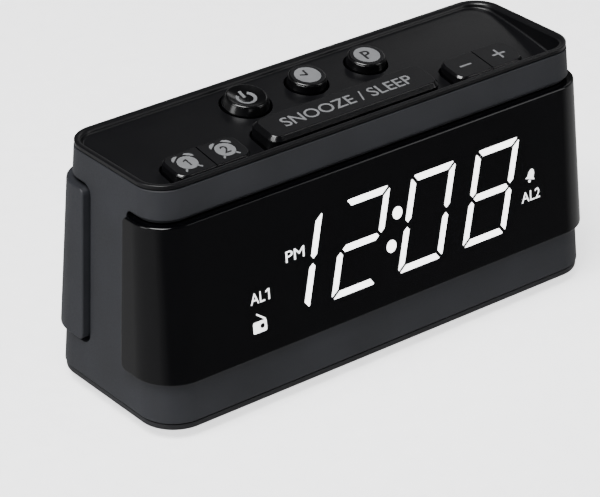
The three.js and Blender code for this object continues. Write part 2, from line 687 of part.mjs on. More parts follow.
function roundKey(key) {
  const flange = holeRadius(key) + FLANGE_REACH;
  const foot = key.radius + key.skirt;
  const top = BUTTON_RISE;
  const outside = [
    [0, FLANGE_BOTTOM],
    [flange, FLANGE_BOTTOM],
    [flange, FLANGE_TOP],
    [foot, FLANGE_TOP],
    [foot, 0],
    [key.radius, top - 0.35],
    [key.radius - 0.35, top],
  ];
  const dished = [0.8, 0.45].map((share) => [
    (key.radius - 0.35) * share, top - key.dish * (1 - share ** 2),
  ]);
  const bowl = key.dish > 0 ? dished : [];
  const profile = [...outside, ...bowl, [0, top - key.dish]];
  return join(solid(turned(key.x, BUTTON_Y, profile)), stem(key.x, BUTTON_Y));
}

function switchBase(x, y) {
  const bottom = KEY_BOARD_TOP + CLEARANCE;
  const boreFloor = PLUNGER_TOP - PLUNGER_LENGTH - KEY_TRAVEL - CLEARANCE;
  return cut(
    solid(slab(x, y, SWITCH_SIZE, SWITCH_SIZE, bottom, SWITCH_TOP)),
    solid(rod(x, y, PLUNGER_RADIUS + CLEARANCE, boreFloor, SWITCH_TOP + 1)),
  );
}

addPart("top_panel", topPanel(), BLACK_SATIN);

const KEYS = [
  ...ROUND_KEYS.map((key) => ({ name: key.name, body: roundKey(key), x: key.x, y: BUTTON_Y })),
  ...PAIR_KEYS.map((key) => ({ name: key.name, body: pairKey(key), x: keyX(key), y: PAIR_Y })),
  {
    name: "snooze_bar",
    body: join(keyCap(SNOOZE, SNOOZE_RISE, SNOOZE_EDGE).translate([0, SNOOZE_Y, 0]), stem(0, SNOOZE_Y)),
    x: 0,
    y: SNOOZE_Y,
  },
];
for (const key of KEYS) {
  addPart(key.name, key.body, KEY_BLACK, deck);
  const plungerBottom = PLUNGER_TOP - PLUNGER_LENGTH;
  const switchName = key.name.replace(/_(button|key|bar)$/, "");
  const plunger = solid(rod(key.x, key.y, PLUNGER_RADIUS, plungerBottom, PLUNGER_TOP));
  addPart(`${switchName}_plunger`, plunger, STEEL, deck);
  addPart(`${switchName}_switch`, switchBase(key.x, key.y), STEEL, deck);
}

const keyBoardBottom = KEY_BOARD_TOP - BOARD_THICKNESS;
const keyBoardMiddle = (BUTTON_Y + PAIR_Y) / 2;
const keyBoard = cut(
  solid(slab(0, keyBoardMiddle, KEY_BOARD_WIDTH, KEY_BOARD_DEPTH, keyBoardBottom, KEY_BOARD_TOP)),
  ...[-1, 1].map((side) => solid(rod(
    side * KEY_BOARD_SCREW_X, KEY_BOARD_SCREW_Y, BOARD_SCREW_RADIUS + CLEARANCE,
    keyBoardBottom - 1, KEY_BOARD_TOP + 1,
  ))),
);
addPart("key_board", keyBoard, BOARD_GREEN, deck);
for (const [place, side] of [["left", -1], ["right", 1]]) {
  const head = keyBoardBottom - CLEARANCE - BOARD_HEAD_HEIGHT;
  const boardScrew = screw(
    side * KEY_BOARD_SCREW_X, KEY_BOARD_SCREW_Y, head, BOARD_HEAD_RADIUS, BOARD_HEAD_HEIGHT,
    BOARD_SCREW_RADIUS, BOARD_SCREW_LENGTH,
  );
  addPart(`key_board_screw_${place}`, boardScrew, STEEL, deck);
}

// ---- Display -------------------------------------------------------------------------------------

const lensBack = SHELL_SINK + CLEARANCE + CLEARANCE; // depth behind the face of the case
const reflectorFront = lensBack + DIFFUSER_THICKNESS + CLEARANCE;
const reflectorBack = reflectorFront + REFLECTOR_DEPTH;

// A pointed bar through the reflector, upright or level, at a place on the unslanted digit.
function segmentTool(x, z, length, level) {
  const half = length / 2;
  const wide = SEGMENT_WIDTH / 2;
  const corners = [
    [-half, 0],
    [wide - half, -wide],
    [half - wide, -wide],
    [half, 0],
    [half - wide, wide],
    [wide - half, wide],
  ];
  const points = corners.map(([along, aside]) => {
    const px = x + (level ? along : aside);
    const pz = z + (level ? aside : along);
    return new THREE.Vector2(px + DIGIT_SLANT * pz, pz);
  });
  const shape = new THREE.Shape(level ? points : points.reverse());
  const geometry = new THREE.ExtrudeGeometry(shape, { depth: 2 * REFLECTOR_DEPTH, bevelEnabled: false });
  geometry.rotateX(Math.PI / 2);
  geometry.translate(0, reflectorFront + 1.5 * REFLECTOR_DEPTH, 0);
  return solid(geometry);
}

function digitTools(x) {
  const upright = DIGIT_HALF - SEGMENT_GAP;
  const level = DIGIT_WIDTH - SEGMENT_GAP;
  const side = DIGIT_WIDTH / 2;
  const middles = [-DIGIT_HALF, 0, DIGIT_HALF].map((z) => segmentTool(x, z, level, true));
  const uprights = [-side, side].flatMap((dx) => [-1, 1].map((up) => (
    segmentTool(x + dx, (up * DIGIT_HALF) / 2, upright, false)
  )));
  return [...middles, ...uprights];
}

function displayTools() {
  const digits = [-1.5, -0.5, 0.5, 1.5].flatMap((place) => digitTools(DISPLAY_X + place * DIGIT_PITCH));
  const dots = [-1, 1].map((up) => solid(peg(
    DISPLAY_X + up * COLON_RISE * DIGIT_SLANT, up * COLON_RISE, COLON_RADIUS, 0, 2 * reflectorBack,
  )));
  return [...digits, ...dots];
}

function displaySlab(front, rear) {
  const halfWidth = DISPLAY_WIDTH / 2;
  const halfTall = DISPLAY_TALL / 2;
  return solid(box([DISPLAY_X - halfWidth, DISPLAY_X + halfWidth], [front, rear], [-halfTall, halfTall]));
}

addPart("segment_diffuser", displaySlab(lensBack, lensBack + DIFFUSER_THICKNESS), WHITE, face);
addPart("display_reflector", cut(displaySlab(reflectorFront, reflectorBack), ...displayTools()), WHITE, face);
const displayBoardFront = reflectorBack + CLEARANCE;
const displayBoardBack = displayBoardFront + BOARD_THICKNESS;
addPart("display_board", displaySlab(displayBoardFront, displayBoardBack), BOARD_GREEN, face);

// ---- Speaker, sockets, main board and leads ------------------------------------------------------

const speakerSeat = -WALL - CLEARANCE;
const basketBack = speakerSeat - SPEAKER_DEPTH;
const basket = [
  [GRILLE_RADIUS, speakerSeat],
  [SPEAKER_RADIUS, speakerSeat],
  [SPEAKER_RADIUS, speakerSeat - 1],
  [GRILLE_RADIUS, speakerSeat - 1.2],
  [MAGNET_RADIUS + 1, basketBack],
  [5, basketBack],
  [5, basketBack + 1],
  [MAGNET_RADIUS, basketBack + 1],
  [GRILLE_RADIUS - 1, speakerSeat - 1],
  [GRILLE_RADIUS, speakerSeat],
];
const coneDepth = SPEAKER_DEPTH - 2;
const cone = [
  [GRILLE_RADIUS - 1.6, speakerSeat - 0.4],
  [GRILLE_RADIUS - 1.2, speakerSeat - 0.4],
  [4.6, speakerSeat - coneDepth],
  [0, speakerSeat - coneDepth + 0.9],
  [0, speakerSeat - coneDepth + 1.4],
  [4.4, speakerSeat - coneDepth + 0.6],
  [GRILLE_RADIUS - 1.6, speakerSeat - 0.4],
];

function turnedAlongY(x, profile, sides = ROUND_SIDES) {
  const points = profile.map(([radius, y]) => new THREE.Vector2(radius, y));
  const geometry = new THREE.LatheGeometry(points, sides);
  geometry.translate(x, 0, 0);
  return solid(geometry);
}

addPart("speaker_frame", turnedAlongY(SPEAKER_X, [...basket].reverse()), STEEL, back);
addPart("speaker_cone", turnedAlongY(SPEAKER_X, [...cone].reverse()), PAPER, back);
const magnetFront = basketBack - CLEARANCE;
addPart(
  "speaker_magnet",
  solid(peg(SPEAKER_X, 0, MAGNET_RADIUS, magnetFront - MAGNET_DEPTH, magnetFront, ROUND_SIDES)),
  MAGNET_GREY,
  back,
);

function dcSocket() {
  const z = SOCKET_Z - SPEAKER_Z;
  const half = SOCKET_BODY / 2;
  const nose = -SHELL_SINK - CLEARANCE;
  const rear = speakerSeat - SOCKET_BODY;
  const outside = join(
    solid(box([SOCKET_X - half, SOCKET_X + half], [rear, speakerSeat], [z - half, z + half])),
    solid(peg(SOCKET_X, z, SOCKET_NOSE, speakerSeat - 1, nose)),
  );
  const bore = solid(peg(SOCKET_X, z, SOCKET_BORE, rear + 2, nose + 1));
  const pin = solid(peg(SOCKET_X, z, SOCKET_PIN, rear + 1, nose - 1, 8));
  return join(cut(outside, bore), pin);
}

function grommet() {
  const inner = speakerSeat - 1.2;
  const outer = SHELL_PROUD - CLEARANCE;
  const profile = [
    [GROMMET_BORE, inner],
    [GROMMET_RADIUS + 1.2, inner],
    [GROMMET_RADIUS + 1.2, speakerSeat],
    [GROMMET_RADIUS, speakerSeat],
    [GROMMET_RADIUS, outer],
    [GROMMET_BORE, outer],
    [GROMMET_BORE, inner],
  ];
  const geometry = new THREE.LatheGeometry(profile.map(([r, y]) => new THREE.Vector2(r, y)), SMALL_SIDES);
  geometry.translate(GROMMET_X, 0, SOCKET_Z - SPEAKER_Z);
  return solid(geometry);
}

addPart("dc_socket", dcSocket(), BLACK_SATIN, back);
addPart("antenna_grommet", grommet(), RUBBER, back);

function mainBoard() {
  const top = MAIN_BOARD_Z + BOARD_THICKNESS;
  const chip = slab(MAIN_BOARD_X - 8, -4, 10, 10, top - 0.5, top + 1.6);
  const capacitor = rod(MAIN_BOARD_X + 14, 6, 3.2, top - 0.5, top + 6);
  const header = slab(MAIN_BOARD_X + HEADER_X, HEADER_Y, CABLE_WIDTH + 2, 4, top - 0.5, top + HEADER_HEIGHT);
  const board = solid(slab(MAIN_BOARD_X, 0, MAIN_BOARD_WIDTH, MAIN_BOARD_DEPTH, MAIN_BOARD_Z, top));
  const holes = boardStandoffs(BOARD_SCREW_RADIUS + CLEARANCE, MAIN_BOARD_Z - 1, top + 1);
  return cut(join(board, ...[chip, capacitor, header].map(solid)), ...holes);
}

function mainBoardScrew(side) {
  const x = MAIN_BOARD_X + side * (MAIN_BOARD_WIDTH / 2 - 2 * STANDOFF_RADIUS);
  const seat = MAIN_BOARD_Z + BOARD_THICKNESS + CLEARANCE;
  const profile = [
    [0, seat - BOARD_SCREW_LENGTH],
    [BOARD_SCREW_RADIUS, seat - BOARD_SCREW_LENGTH + 0.5],
    [BOARD_SCREW_RADIUS, seat],
    [BOARD_HEAD_RADIUS, seat],
    [BOARD_HEAD_RADIUS, seat + BOARD_HEAD_HEIGHT],
    [0, seat + BOARD_HEAD_HEIGHT],
  ];
  return solid(turned(x, 0, profile, SMALL_SIDES));
}

// The flat cable from the header on the main board up to the key board.
function ribbonCable() {
  const bottom = MAIN_BOARD_Z + BOARD_THICKNESS + HEADER_HEIGHT + CLEARANCE;
  const keyBoardAt = new THREE.Vector3(0, -4, keyBoardBottom - CLEARANCE).applyMatrix4(deck.matrix);
  const path = new THREE.CatmullRomCurve3([
    new THREE.Vector3(0, HEADER_Y, bottom),
    new THREE.Vector3(0, HEADER_Y, bottom + 6),
    new THREE.Vector3(0, 1, bottom + 18),
    new THREE.Vector3(0, keyBoardAt.y, keyBoardAt.z - 6),
    new THREE.Vector3(0, keyBoardAt.y, keyBoardAt.z - 1),
  ]);
  const halfWidth = CABLE_WIDTH / 2;
  const halfThickness = CABLE_THICKNESS / 2;
  const section = new THREE.Shape();
  section.moveTo(-halfWidth, -halfThickness);
  section.lineTo(halfWidth, -halfThickness);
  section.lineTo(halfWidth, halfThickness);
  section.lineTo(-halfWidth, halfThickness);
  section.closePath();
  const geometry = new THREE.ExtrudeGeometry(section, { steps: 14, extrudePath: path });
  geometry.translate(MAIN_BOARD_X + HEADER_X, 0, 0);
  return solid(geometry);
}

addPart("main_board", mainBoard(), BOARD_GREEN);
addPart("main_board_screw_left", mainBoardScrew(-1), STEEL);
addPart("main_board_screw_right", mainBoardScrew(1), STEEL);
addPart("ribbon_cable", ribbonCable(), CABLE_WHITE);

export default clock;
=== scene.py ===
# %% [markdown]
# # A bedside clock radio, piece by piece
# The clock is a drafted plastic case with a black window wrapped round its front, a cover wrapped
# round its back, and a sloping tray of keys let into its top. This lesson rebuilds the pieces that
# the eye sees, with rounded edges and moulded finishes, around a frame of plain solids.

# %% Load the frame
import json
import math

import bmesh
import bpy
from mathutils import Matrix, Vector


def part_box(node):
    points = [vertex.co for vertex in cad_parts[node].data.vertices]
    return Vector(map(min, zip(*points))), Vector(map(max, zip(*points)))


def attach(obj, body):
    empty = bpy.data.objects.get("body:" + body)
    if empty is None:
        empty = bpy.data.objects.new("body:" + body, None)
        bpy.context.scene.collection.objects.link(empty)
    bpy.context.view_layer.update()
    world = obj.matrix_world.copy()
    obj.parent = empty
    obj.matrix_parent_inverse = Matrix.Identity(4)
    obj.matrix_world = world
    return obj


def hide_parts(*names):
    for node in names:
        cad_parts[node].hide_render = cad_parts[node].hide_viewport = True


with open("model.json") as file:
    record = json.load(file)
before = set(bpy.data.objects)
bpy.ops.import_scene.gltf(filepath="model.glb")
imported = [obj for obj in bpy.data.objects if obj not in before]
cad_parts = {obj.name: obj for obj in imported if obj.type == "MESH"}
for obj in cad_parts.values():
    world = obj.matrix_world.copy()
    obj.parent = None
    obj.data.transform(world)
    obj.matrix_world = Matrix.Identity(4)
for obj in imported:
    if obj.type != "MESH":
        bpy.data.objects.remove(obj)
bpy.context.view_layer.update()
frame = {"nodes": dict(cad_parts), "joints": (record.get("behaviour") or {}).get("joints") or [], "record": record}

MM = 0.001
NODES = frame["nodes"]

# %% [markdown]
# The case leans in on all four sides, so a mould can let it go. Its outline is a rounded rectangle
# that shrinks evenly with height, and every shell on it is the same outline moved in or out. The
# sizes come from the frame: the base plate gives the outline low down and the top panel the
# outline at the rim. Working from one outline keeps all the shells parallel, as they really are.

# %% Read the outline from the frame
def corner_mm(node, high=True):
    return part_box(node)[1 if high else 0] / MM


PLATE_INSET = 0.4
RIM_THICKNESS = 1.0
LOW_CORNER, RIM_CORNER = 9.6, 7.34
plate_low, plate_high = corner_mm("base_plate", False), corner_mm("base_plate")
rim = corner_mm("top_panel")
Z_LOW = plate_low.z
Z_RIM = rim.z
Z_TOP = Z_RIM - RIM_THICKNESS
LOW = (plate_high.x + PLATE_INSET, plate_high.y + PLATE_INSET, LOW_CORNER)
HIGH = (rim.x, rim.y, RIM_CORNER)


def outline(z, offset=0.0):
    """Half width, half depth and corner radius of the case at a height, in millimetres."""
    share = (z - Z_LOW) / (Z_TOP - Z_LOW)
    return [low + (high - low) * share + offset for low, high in zip(LOW, HIGH)]


print("outline low and at the rim:", [round(v, 2) for v in outline(Z_LOW) + outline(Z_TOP)])

# %% [markdown]
# A round corner drawn with few flats shows a broken edge against a pale background. Each piece is
# therefore skinned over loops of points with fine corners: a column says where on the outline a
# point stands, and a loop asks every column for its point at one height and one offset. Loops
# that belong together have the same number of points, so quads join them without a stray face.

# %% Columns and loops
CORNER_STEPS = 14
ROUNDING_STEPS = 4


def place(column, z, offset, level=None):
    """A column's point at height z; level is where the outline is read, if that differs."""
    kind, side, value, front = column[:4]
    a, b, r = outline(z if level is None else level, offset)
    if kind == "side":
        return Vector((side * a, front * value, z))
    x = side * (a - r + r * math.cos(value))
    return Vector((x, front * (b - r + r * math.sin(value)), z))


def quarter(steps):
    """Even angles over a quarter turn."""
    return [math.pi / 2 * k / steps for k in range(steps + 1)]


def band(first, second):
    """Quads between two closed loops."""
    count = len(first)
    return [[first[i], first[(i + 1) % count], second[(i + 1) % count], second[i]] for i in range(count)]


def open_band(first, second):
    return [[first[i], first[i + 1], second[i + 1], second[i]] for i in range(len(first) - 1)]


def rungs(loop):
    """Closes a loop whose second half runs back beside its first, with one quad for each step."""
    last = len(loop) - 1
    return [[loop[i], loop[i + 1], loop[last - i - 1], loop[last - i]] for i in range(len(loop) // 2 - 1)]


def skin(loops, start=None, end=None):
    """Quads along a row of closed loops, with a cap of rungs or one flat face at either end."""
    faces = [face for first, second in zip(loops, loops[1:]) for face in band(first, second)]
    for loop, cap in ((loops[0], start), (loops[-1], end)):
        if cap == "rungs":
            faces += rungs(loop)
        elif cap == "flat":
            faces.append(list(loop))
    return faces


print("steps round a corner:", CORNER_STEPS, "and over a rounded edge:", ROUNDING_STEPS)

# %% [markdown]
# The faces are listed by their points, with each face on its own, and become a mesh in one call.
# Points that coincide are then merged, which closes the skin. This is easier to get right than
# counting indices by hand, and a closed skin is what a boolean needs.

# %% From faces to a mesh
SAME_PLACE = 1e-6


def cleaned(mesh):
    """Merges points that coincide, drops faces with no area and turns every face outwards."""
    work = bmesh.new()
    work.from_mesh(mesh)
    bmesh.ops.remove_doubles(work, verts=work.verts, dist=SAME_PLACE)
    bmesh.ops.dissolve_degenerate(work, edges=work.edges, dist=SAME_PLACE / 10)
    bmesh.ops.recalc_face_normals(work, faces=work.faces)
    work.to_mesh(mesh)
    work.free()


def solid(name, faces, matrix=None):
    """A mesh object from faces given by their points in millimetres."""
    points = [point for face in faces for point in face]
    if matrix:
        points = [matrix @ point for point in points]
    counter = iter(range(len(points)))
    indices = [[next(counter) for _ in face] for face in faces]
    mesh = bpy.data.meshes.new(name)
    mesh.from_pydata([point * MM for point in points], [], indices)
    cleaned(mesh)
    piece = bpy.data.objects.new(name, mesh)
    bpy.context.scene.collection.objects.link(piece)
    return piece


print("points closer than", SAME_PLACE * 1000, "mm are merged")

# %% [markdown]
# Holes and slots are cut after the skin is made, with Blender's exact boolean. The result is kept
# as plain mesh at once, so a later step never waits on a chain of modifiers. Shading is then
# smooth over the roundings and sharp at real edges, and weighted normals keep the large flats
# flat in a reflection.

# %% Cutting and finishing a mesh
SHARP_ANGLE = 38


def baked(piece):
    """Turns a piece and its modifiers into plain mesh."""
    bpy.context.view_layer.update()
    mesh = bpy.data.meshes.new_from_object(piece.evaluated_get(bpy.context.evaluated_depsgraph_get()))
    piece.modifiers.clear()
    piece.data = mesh


def combine(piece, tools, operation):
    """Runs one boolean for each tool and uses the tools up."""
    for tool in tools:
        modifier = piece.modifiers.new("boolean", "BOOLEAN")
        modifier.operation = operation
        modifier.solver = "EXACT"
        modifier.object = tool
        baked(piece)
        bpy.data.objects.remove(tool)
    return piece


def cut(piece, *tools):
    return combine(piece, tools, "DIFFERENCE")


def join(piece, *others):
    return combine(piece, others, "UNION")


def shaded(piece, sharp=SHARP_ANGLE):
    piece.data.shade_smooth()
    piece.data.set_sharp_from_angle(angle=math.radians(sharp))
    modifier = piece.modifiers.new("weighted normals", "WEIGHTED_NORMAL")
    modifier.keep_sharp = True
    return piece


print("edges that turn by more than", SHARP_ANGLE, "degrees stay sharp")

# %% [markdown]
# Buttons, feet and screws are turned shapes, like work from a lathe: a profile of radii and
# heights, carried round an axis. Slots, bars and flat symbols are prisms: an outline raised
# between two heights. Both could start from Blender's cylinder and cube, but a profile gives each
# shoulder and rounding its real size.

# %% Round bodies and prisms
ROUND_SIDES = 64


def ring(radius, height, sides, centre=(0, 0)):
    """Points round a circle."""
    return [
        Vector((
            centre[0] + radius * math.cos(2 * math.pi * k / sides),
            centre[1] + radius * math.sin(2 * math.pi * k / sides),
            height,
        ))
        for k in range(sides)
    ]


def turned(name, profile, matrix, sides=ROUND_SIDES):
    """A body of revolution from [radius, height] pairs; it is closed flat at both ends."""
    loops = [ring(radius, height, sides) for radius, height in profile]
    return solid(name, skin(loops, "flat", "flat"), matrix)


def prism(name, outline_points, low, high, matrix=None):
    """A flat outline raised from one height to another."""
    loops = [[Vector((x, y, z)) for x, y in outline_points] for z in (low, high)]
    return solid(name, skin(loops, "flat", "flat"), matrix)


def rounded(half_x, half_y, radii, steps=8):
    """A rounded rectangle; radii run anticlockwise from the corner at +x, +y."""
    points = []
    for k, (sx, sy, radius) in enumerate(zip((1, -1, -1, 1), (1, 1, -1, -1), radii)):
        for angle in quarter(steps):
            turn = angle + k * math.pi / 2
            points.append((
                sx * (half_x - radius) + radius * math.cos(turn),
                sy * (half_y - radius) + radius * math.sin(turn),
            ))
    return points


print("a turned piece has", ROUND_SIDES, "sides, unless it says otherwise")

# %% [markdown]
# ## Finishes
# A moulded plastic is never one flat colour: the pigment clouds a little, the spark-eroded steel
# leaves a fine grain that breaks up the gloss, and handling polishes it unevenly. Each finish
# therefore starts from the real plastic's colour and gloss, and adds noise at a size in
# millimetres. Colours are written as sRGB hex and turned to linear light by one function.

# %% Colour and node helpers
def linear(hex_colour, alpha=1.0):
    channels = [int(hex_colour[i:i + 2], 16) / 255 for i in (1, 3, 5)]
    return [c / 12.92 if c <= 0.04045 else ((c + 0.055) / 1.055) ** 2.4 for c in channels] + [alpha]


def add(tree, kind, settings=None, **inputs):
    """Adds one node, with its settings, and values or links for its inputs."""
    node = tree.nodes.new(kind)
    for key, value in (settings or {}).items():
        setattr(node, key, value)
    for key, value in inputs.items():
        socket = node.inputs[int(key[1:]) if key[0] == "i" and key[1:].isdigit() else key.replace("_", " ")]
        if isinstance(value, bpy.types.NodeSocket):
            tree.links.new(value, socket)
        else:
            socket.default_value = value
    return node


def noise(tree, where, size_mm, detail=3.0):
    """Smooth noise whose patches are about size_mm wide."""
    scale = 1 / (size_mm * MM)
    return add(tree, "ShaderNodeTexNoise", Vector=where, Scale=scale, Detail=detail).outputs["Fac"]


NOISE_LOW, NOISE_HIGH = 0.3, 0.7


def spread(tree, value, low, high):
    """Stretches noise, which keeps near its middle, over a range of values."""
    return add(
        tree, "ShaderNodeMapRange", Value=value, From_Min=NOISE_LOW, From_Max=NOISE_HIGH,
        To_Min=low, To_Max=high,
    ).outputs["Result"]


print("mid grey in linear light:", [round(v, 3) for v in linear("#808080")])

# %% [markdown]
# Most pieces are moulded, so one function makes their finish. Two tints of one colour are mixed
# over soft clouds, and one fine grain drives both the gloss and a bump of a few hundredths of a
# millimetre. An image texture could do the same, but noise has no seams and fits any piece.

# %% A moulded plastic
CLOUD_MM = 14.0
GRAIN_RELIEF_MM = 0.02
GLOSS_SPREAD = 0.12


def moulded(name, light, dark, roughness, grain_mm, relief, cloud_mm=CLOUD_MM, specular=0.5, **more):
    """Plastic with clouded colour, uneven gloss and the grain of its mould."""
    material = bpy.data.materials.new(name)
    material.use_nodes = True
    tree = material.node_tree
    shader = tree.nodes["Principled BSDF"]
    where = add(tree, "ShaderNodeTexCoord").outputs["Object"]
    cloud = noise(tree, where, cloud_mm)
    mix = add(tree, "ShaderNodeMix", {"data_type": "RGBA"}, Factor=spread(tree, cloud, 0, 1))
    mix.inputs[6].default_value = linear(dark)
    mix.inputs[7].default_value = linear(light)
    tree.links.new(mix.outputs[2], shader.inputs["Base Color"])
    grain = noise(tree, where, grain_mm, 2.0)
    gloss = spread(tree, grain, roughness * (1 - GLOSS_SPREAD), roughness * (1 + GLOSS_SPREAD))
    tree.links.new(gloss, shader.inputs["Roughness"])
    bump = add(tree, "ShaderNodeBump", Height=grain, Strength=relief, Distance=GRAIN_RELIEF_MM * MM)
    tree.links.new(bump.outputs["Normal"], shader.inputs["Normal"])
    shader.inputs["Specular IOR Level"].default_value = specular
    for socket, value in more.items():
        shader.inputs[socket.replace("_", " ")].default_value = value
    return material


print("clouds of", CLOUD_MM, "mm, grain", GRAIN_RELIEF_MM, "mm deep")

# %% [markdown]
# The case and rear cover are ABS from a spark-eroded mould: satin, with a fine grain that takes
# the sparkle out of highlights. A real grain is about 0.1 mm; it is drawn at 0.35 mm so that it
# still shows at arm's length. The window is acrylic, tinted nearly black, with an
# anti-reflection coat, so it mirrors the room only faintly. Keys are a denser ABS with polished
# edges, because the steel of their mould was polished there.

# %% Finishes of the outside
ABS_IOR = 1.54
ACRYLIC_IOR = 1.49
# Spark-eroded ABS: a soft, even charcoal with no hard reflection.
charcoal_abs = moulded(
    "charcoal_abs_spark_eroded", "#222327", "#1e1f22", 0.5, 0.35, 0.35, specular=0.25, IOR=ABS_IOR,
)
# Satin ABS: black, with a broad sheen that slides over the deck.
tray_abs = moulded(
    "black_abs_satin", "#0b0b0d", "#08080a", 0.34, 0.4, 0.3, specular=0.3, IOR=ABS_IOR,
)
# Coarser ABS under the clock: a flat dark grey.
plate_abs = moulded("grey_abs_base", "#1a1a1d", "#171719", 0.5, 0.4, 0.4, specular=0.3, IOR=ABS_IOR)
# Coated acrylic: nearly black, and bright only where it turns round the corners.
window_acrylic = moulded(
    "smoked_acrylic_coated", "#030304", "#020203", 0.09, 3.0, 0.02, 30.0, 0.4, IOR=ACRYLIC_IOR,
)
# Grained key tops: a dry black that the legends stand out from.
key_abs = moulded(
    "key_abs_matte", "#0d0d0f", "#0a0a0c", 0.42, 0.3, 0.3, 5.0, specular=0.3, IOR=ABS_IOR,
)
# Polished key edges: thin light lines along each chamfer.
key_edge_abs = moulded(
    "key_abs_polished_edge", "#08080a", "#060607", 0.18, 0.8, 0.05, 5.0, IOR=ABS_IOR,
)
# Polished buttons: small mirror-like lights in the dish and on the collar.
gloss_abs = moulded("key_abs_polished", "#060607", "#040405", 0.2, 0.8, 0.05, 5.0, IOR=ABS_IOR)
# Vulcanised rubber: black with almost no shine.
rubber = moulded("black_rubber", "#131313", "#0d0d0d", 0.85, 0.3, 0.5, 4.0)
# Pad-printed ink: a mid grey film, a little drier than the key under it.
legend_ink = moulded("grey_pad_print_ink", "#707173", "#68696b", 0.5, 0.15, 0.2, 2.0)
# The same ink in black, for what is printed on the grey.
dark_ink = moulded("black_pad_print_ink", "#0e0e10", "#0b0b0c", 0.5, 0.15, 0.2, 2.0)
print("key finishes:", [m.name for m in (key_abs, key_edge_abs, gloss_abs)])

# %% [markdown]
# The lit parts of the display are a milky film with light-emitting diodes behind it. The film
# evens the light, so the segments are plain white with only a trace of falloff at their ends.

# %% The light of the display
LIGHT_CLOUD_MM = 4.0
LIGHT_SPREAD = 0.05


def glowing(name, colour, strength):
    """A milky sheet lit from behind: plain light with a trace of unevenness."""
    material = moulded(name, colour, colour, 0.4, 0.4, 0.1)
    tree = material.node_tree
    shader = tree.nodes["Principled BSDF"]
    where = add(tree, "ShaderNodeTexCoord").outputs["Object"]
    cloud = noise(tree, where, LIGHT_CLOUD_MM)
    level = spread(tree, cloud, strength * (1 - LIGHT_SPREAD), strength * (1 + LIGHT_SPREAD))
    shader.inputs["Emission Color"].default_value = linear(colour)
    tree.links.new(level, shader.inputs["Emission Strength"])
    return material


# Milky film over the diodes: pure white segments that outshine the room.
lit_film = glowing("lit_display_film", "#ffffff", 3.0)
# The same film behind the small signs, which have one weak diode each.
symbol_film = glowing("lit_symbol_film", "#f6f7f8", 1.2)
print("lit films:", lit_film.name, "and", symbol_film.name)

# %% [markdown]
# The pieces inside are seldom seen, but each still gets its own finish: green solder mask over
# copper tracks, zinc on steel with its fine rolling lines, dull ferrite, paper pulp and so on.
# Their nodes keep the frame's own shape, and only take a material.

# %% Plated steel and solder mask
LINE_STRETCH = 0.08
LINE_LOW, LINE_HIGH = 0.8, 1.3
TRACK_MM = 2.5
TRACK_EDGE, TRACK_END = 0.04, 0.06


def metal(name, colour, dark, roughness, line_mm):
    """Plated steel, with fine lines along x from rolling or turning."""
    material = moulded(name, colour, dark, roughness, line_mm, 0.2, 3.0)
    tree = material.node_tree
    shader = tree.nodes["Principled BSDF"]
    shader.inputs["Metallic"].default_value = 1.0
    where = add(tree, "ShaderNodeTexCoord").outputs["Object"]
    stretched = add(tree, "ShaderNodeMapping", Vector=where, Scale=(LINE_STRETCH, 1, 1)).outputs["Vector"]
    lines = noise(tree, stretched, line_mm)
    gloss = spread(tree, lines, roughness * LINE_LOW, roughness * LINE_HIGH)
    tree.links.new(gloss, shader.inputs["Roughness"])
    return material


def solder_mask(name):
    """Green lacquer: the tracks under it show as a lighter pattern of straight runs."""
    material = moulded(name, "#1f6a42", "#18573a", 0.32, 0.5, 0.2, 6.0)
    tree = material.node_tree
    shader = tree.nodes["Principled BSDF"]
    mixed = shader.inputs["Base Color"].links[0].from_socket
    where = add(tree, "ShaderNodeTexCoord").outputs["Object"]
    cells = add(
        tree, "ShaderNodeTexVoronoi", {"distance": "CHEBYCHEV", "feature": "DISTANCE_TO_EDGE"},
        Vector=where, Scale=1 / (TRACK_MM * MM),
    ).outputs["Distance"]
    track = add(
        tree, "ShaderNodeMapRange", Value=cells, From_Min=TRACK_EDGE, From_Max=TRACK_END,
    ).outputs["Result"]
    mix = add(tree, "ShaderNodeMix", {"data_type": "RGBA"}, Factor=track)
    mix.inputs[6].default_value = linear("#3f8f5c")
    tree.links.new(mixed, mix.inputs[7])
    tree.links.new(mix.outputs[2], shader.inputs["Base Color"])
    return material


print("drawn lines are", round(1 / LINE_STRETCH), "times as long as wide; tracks repeat at", TRACK_MM, "mm")

# %% [markdown]
# A table names the finish of every slot, so a frame node takes its material by the slot that the
# record gives it. The outside pieces use the same table, unless they carry two finishes.

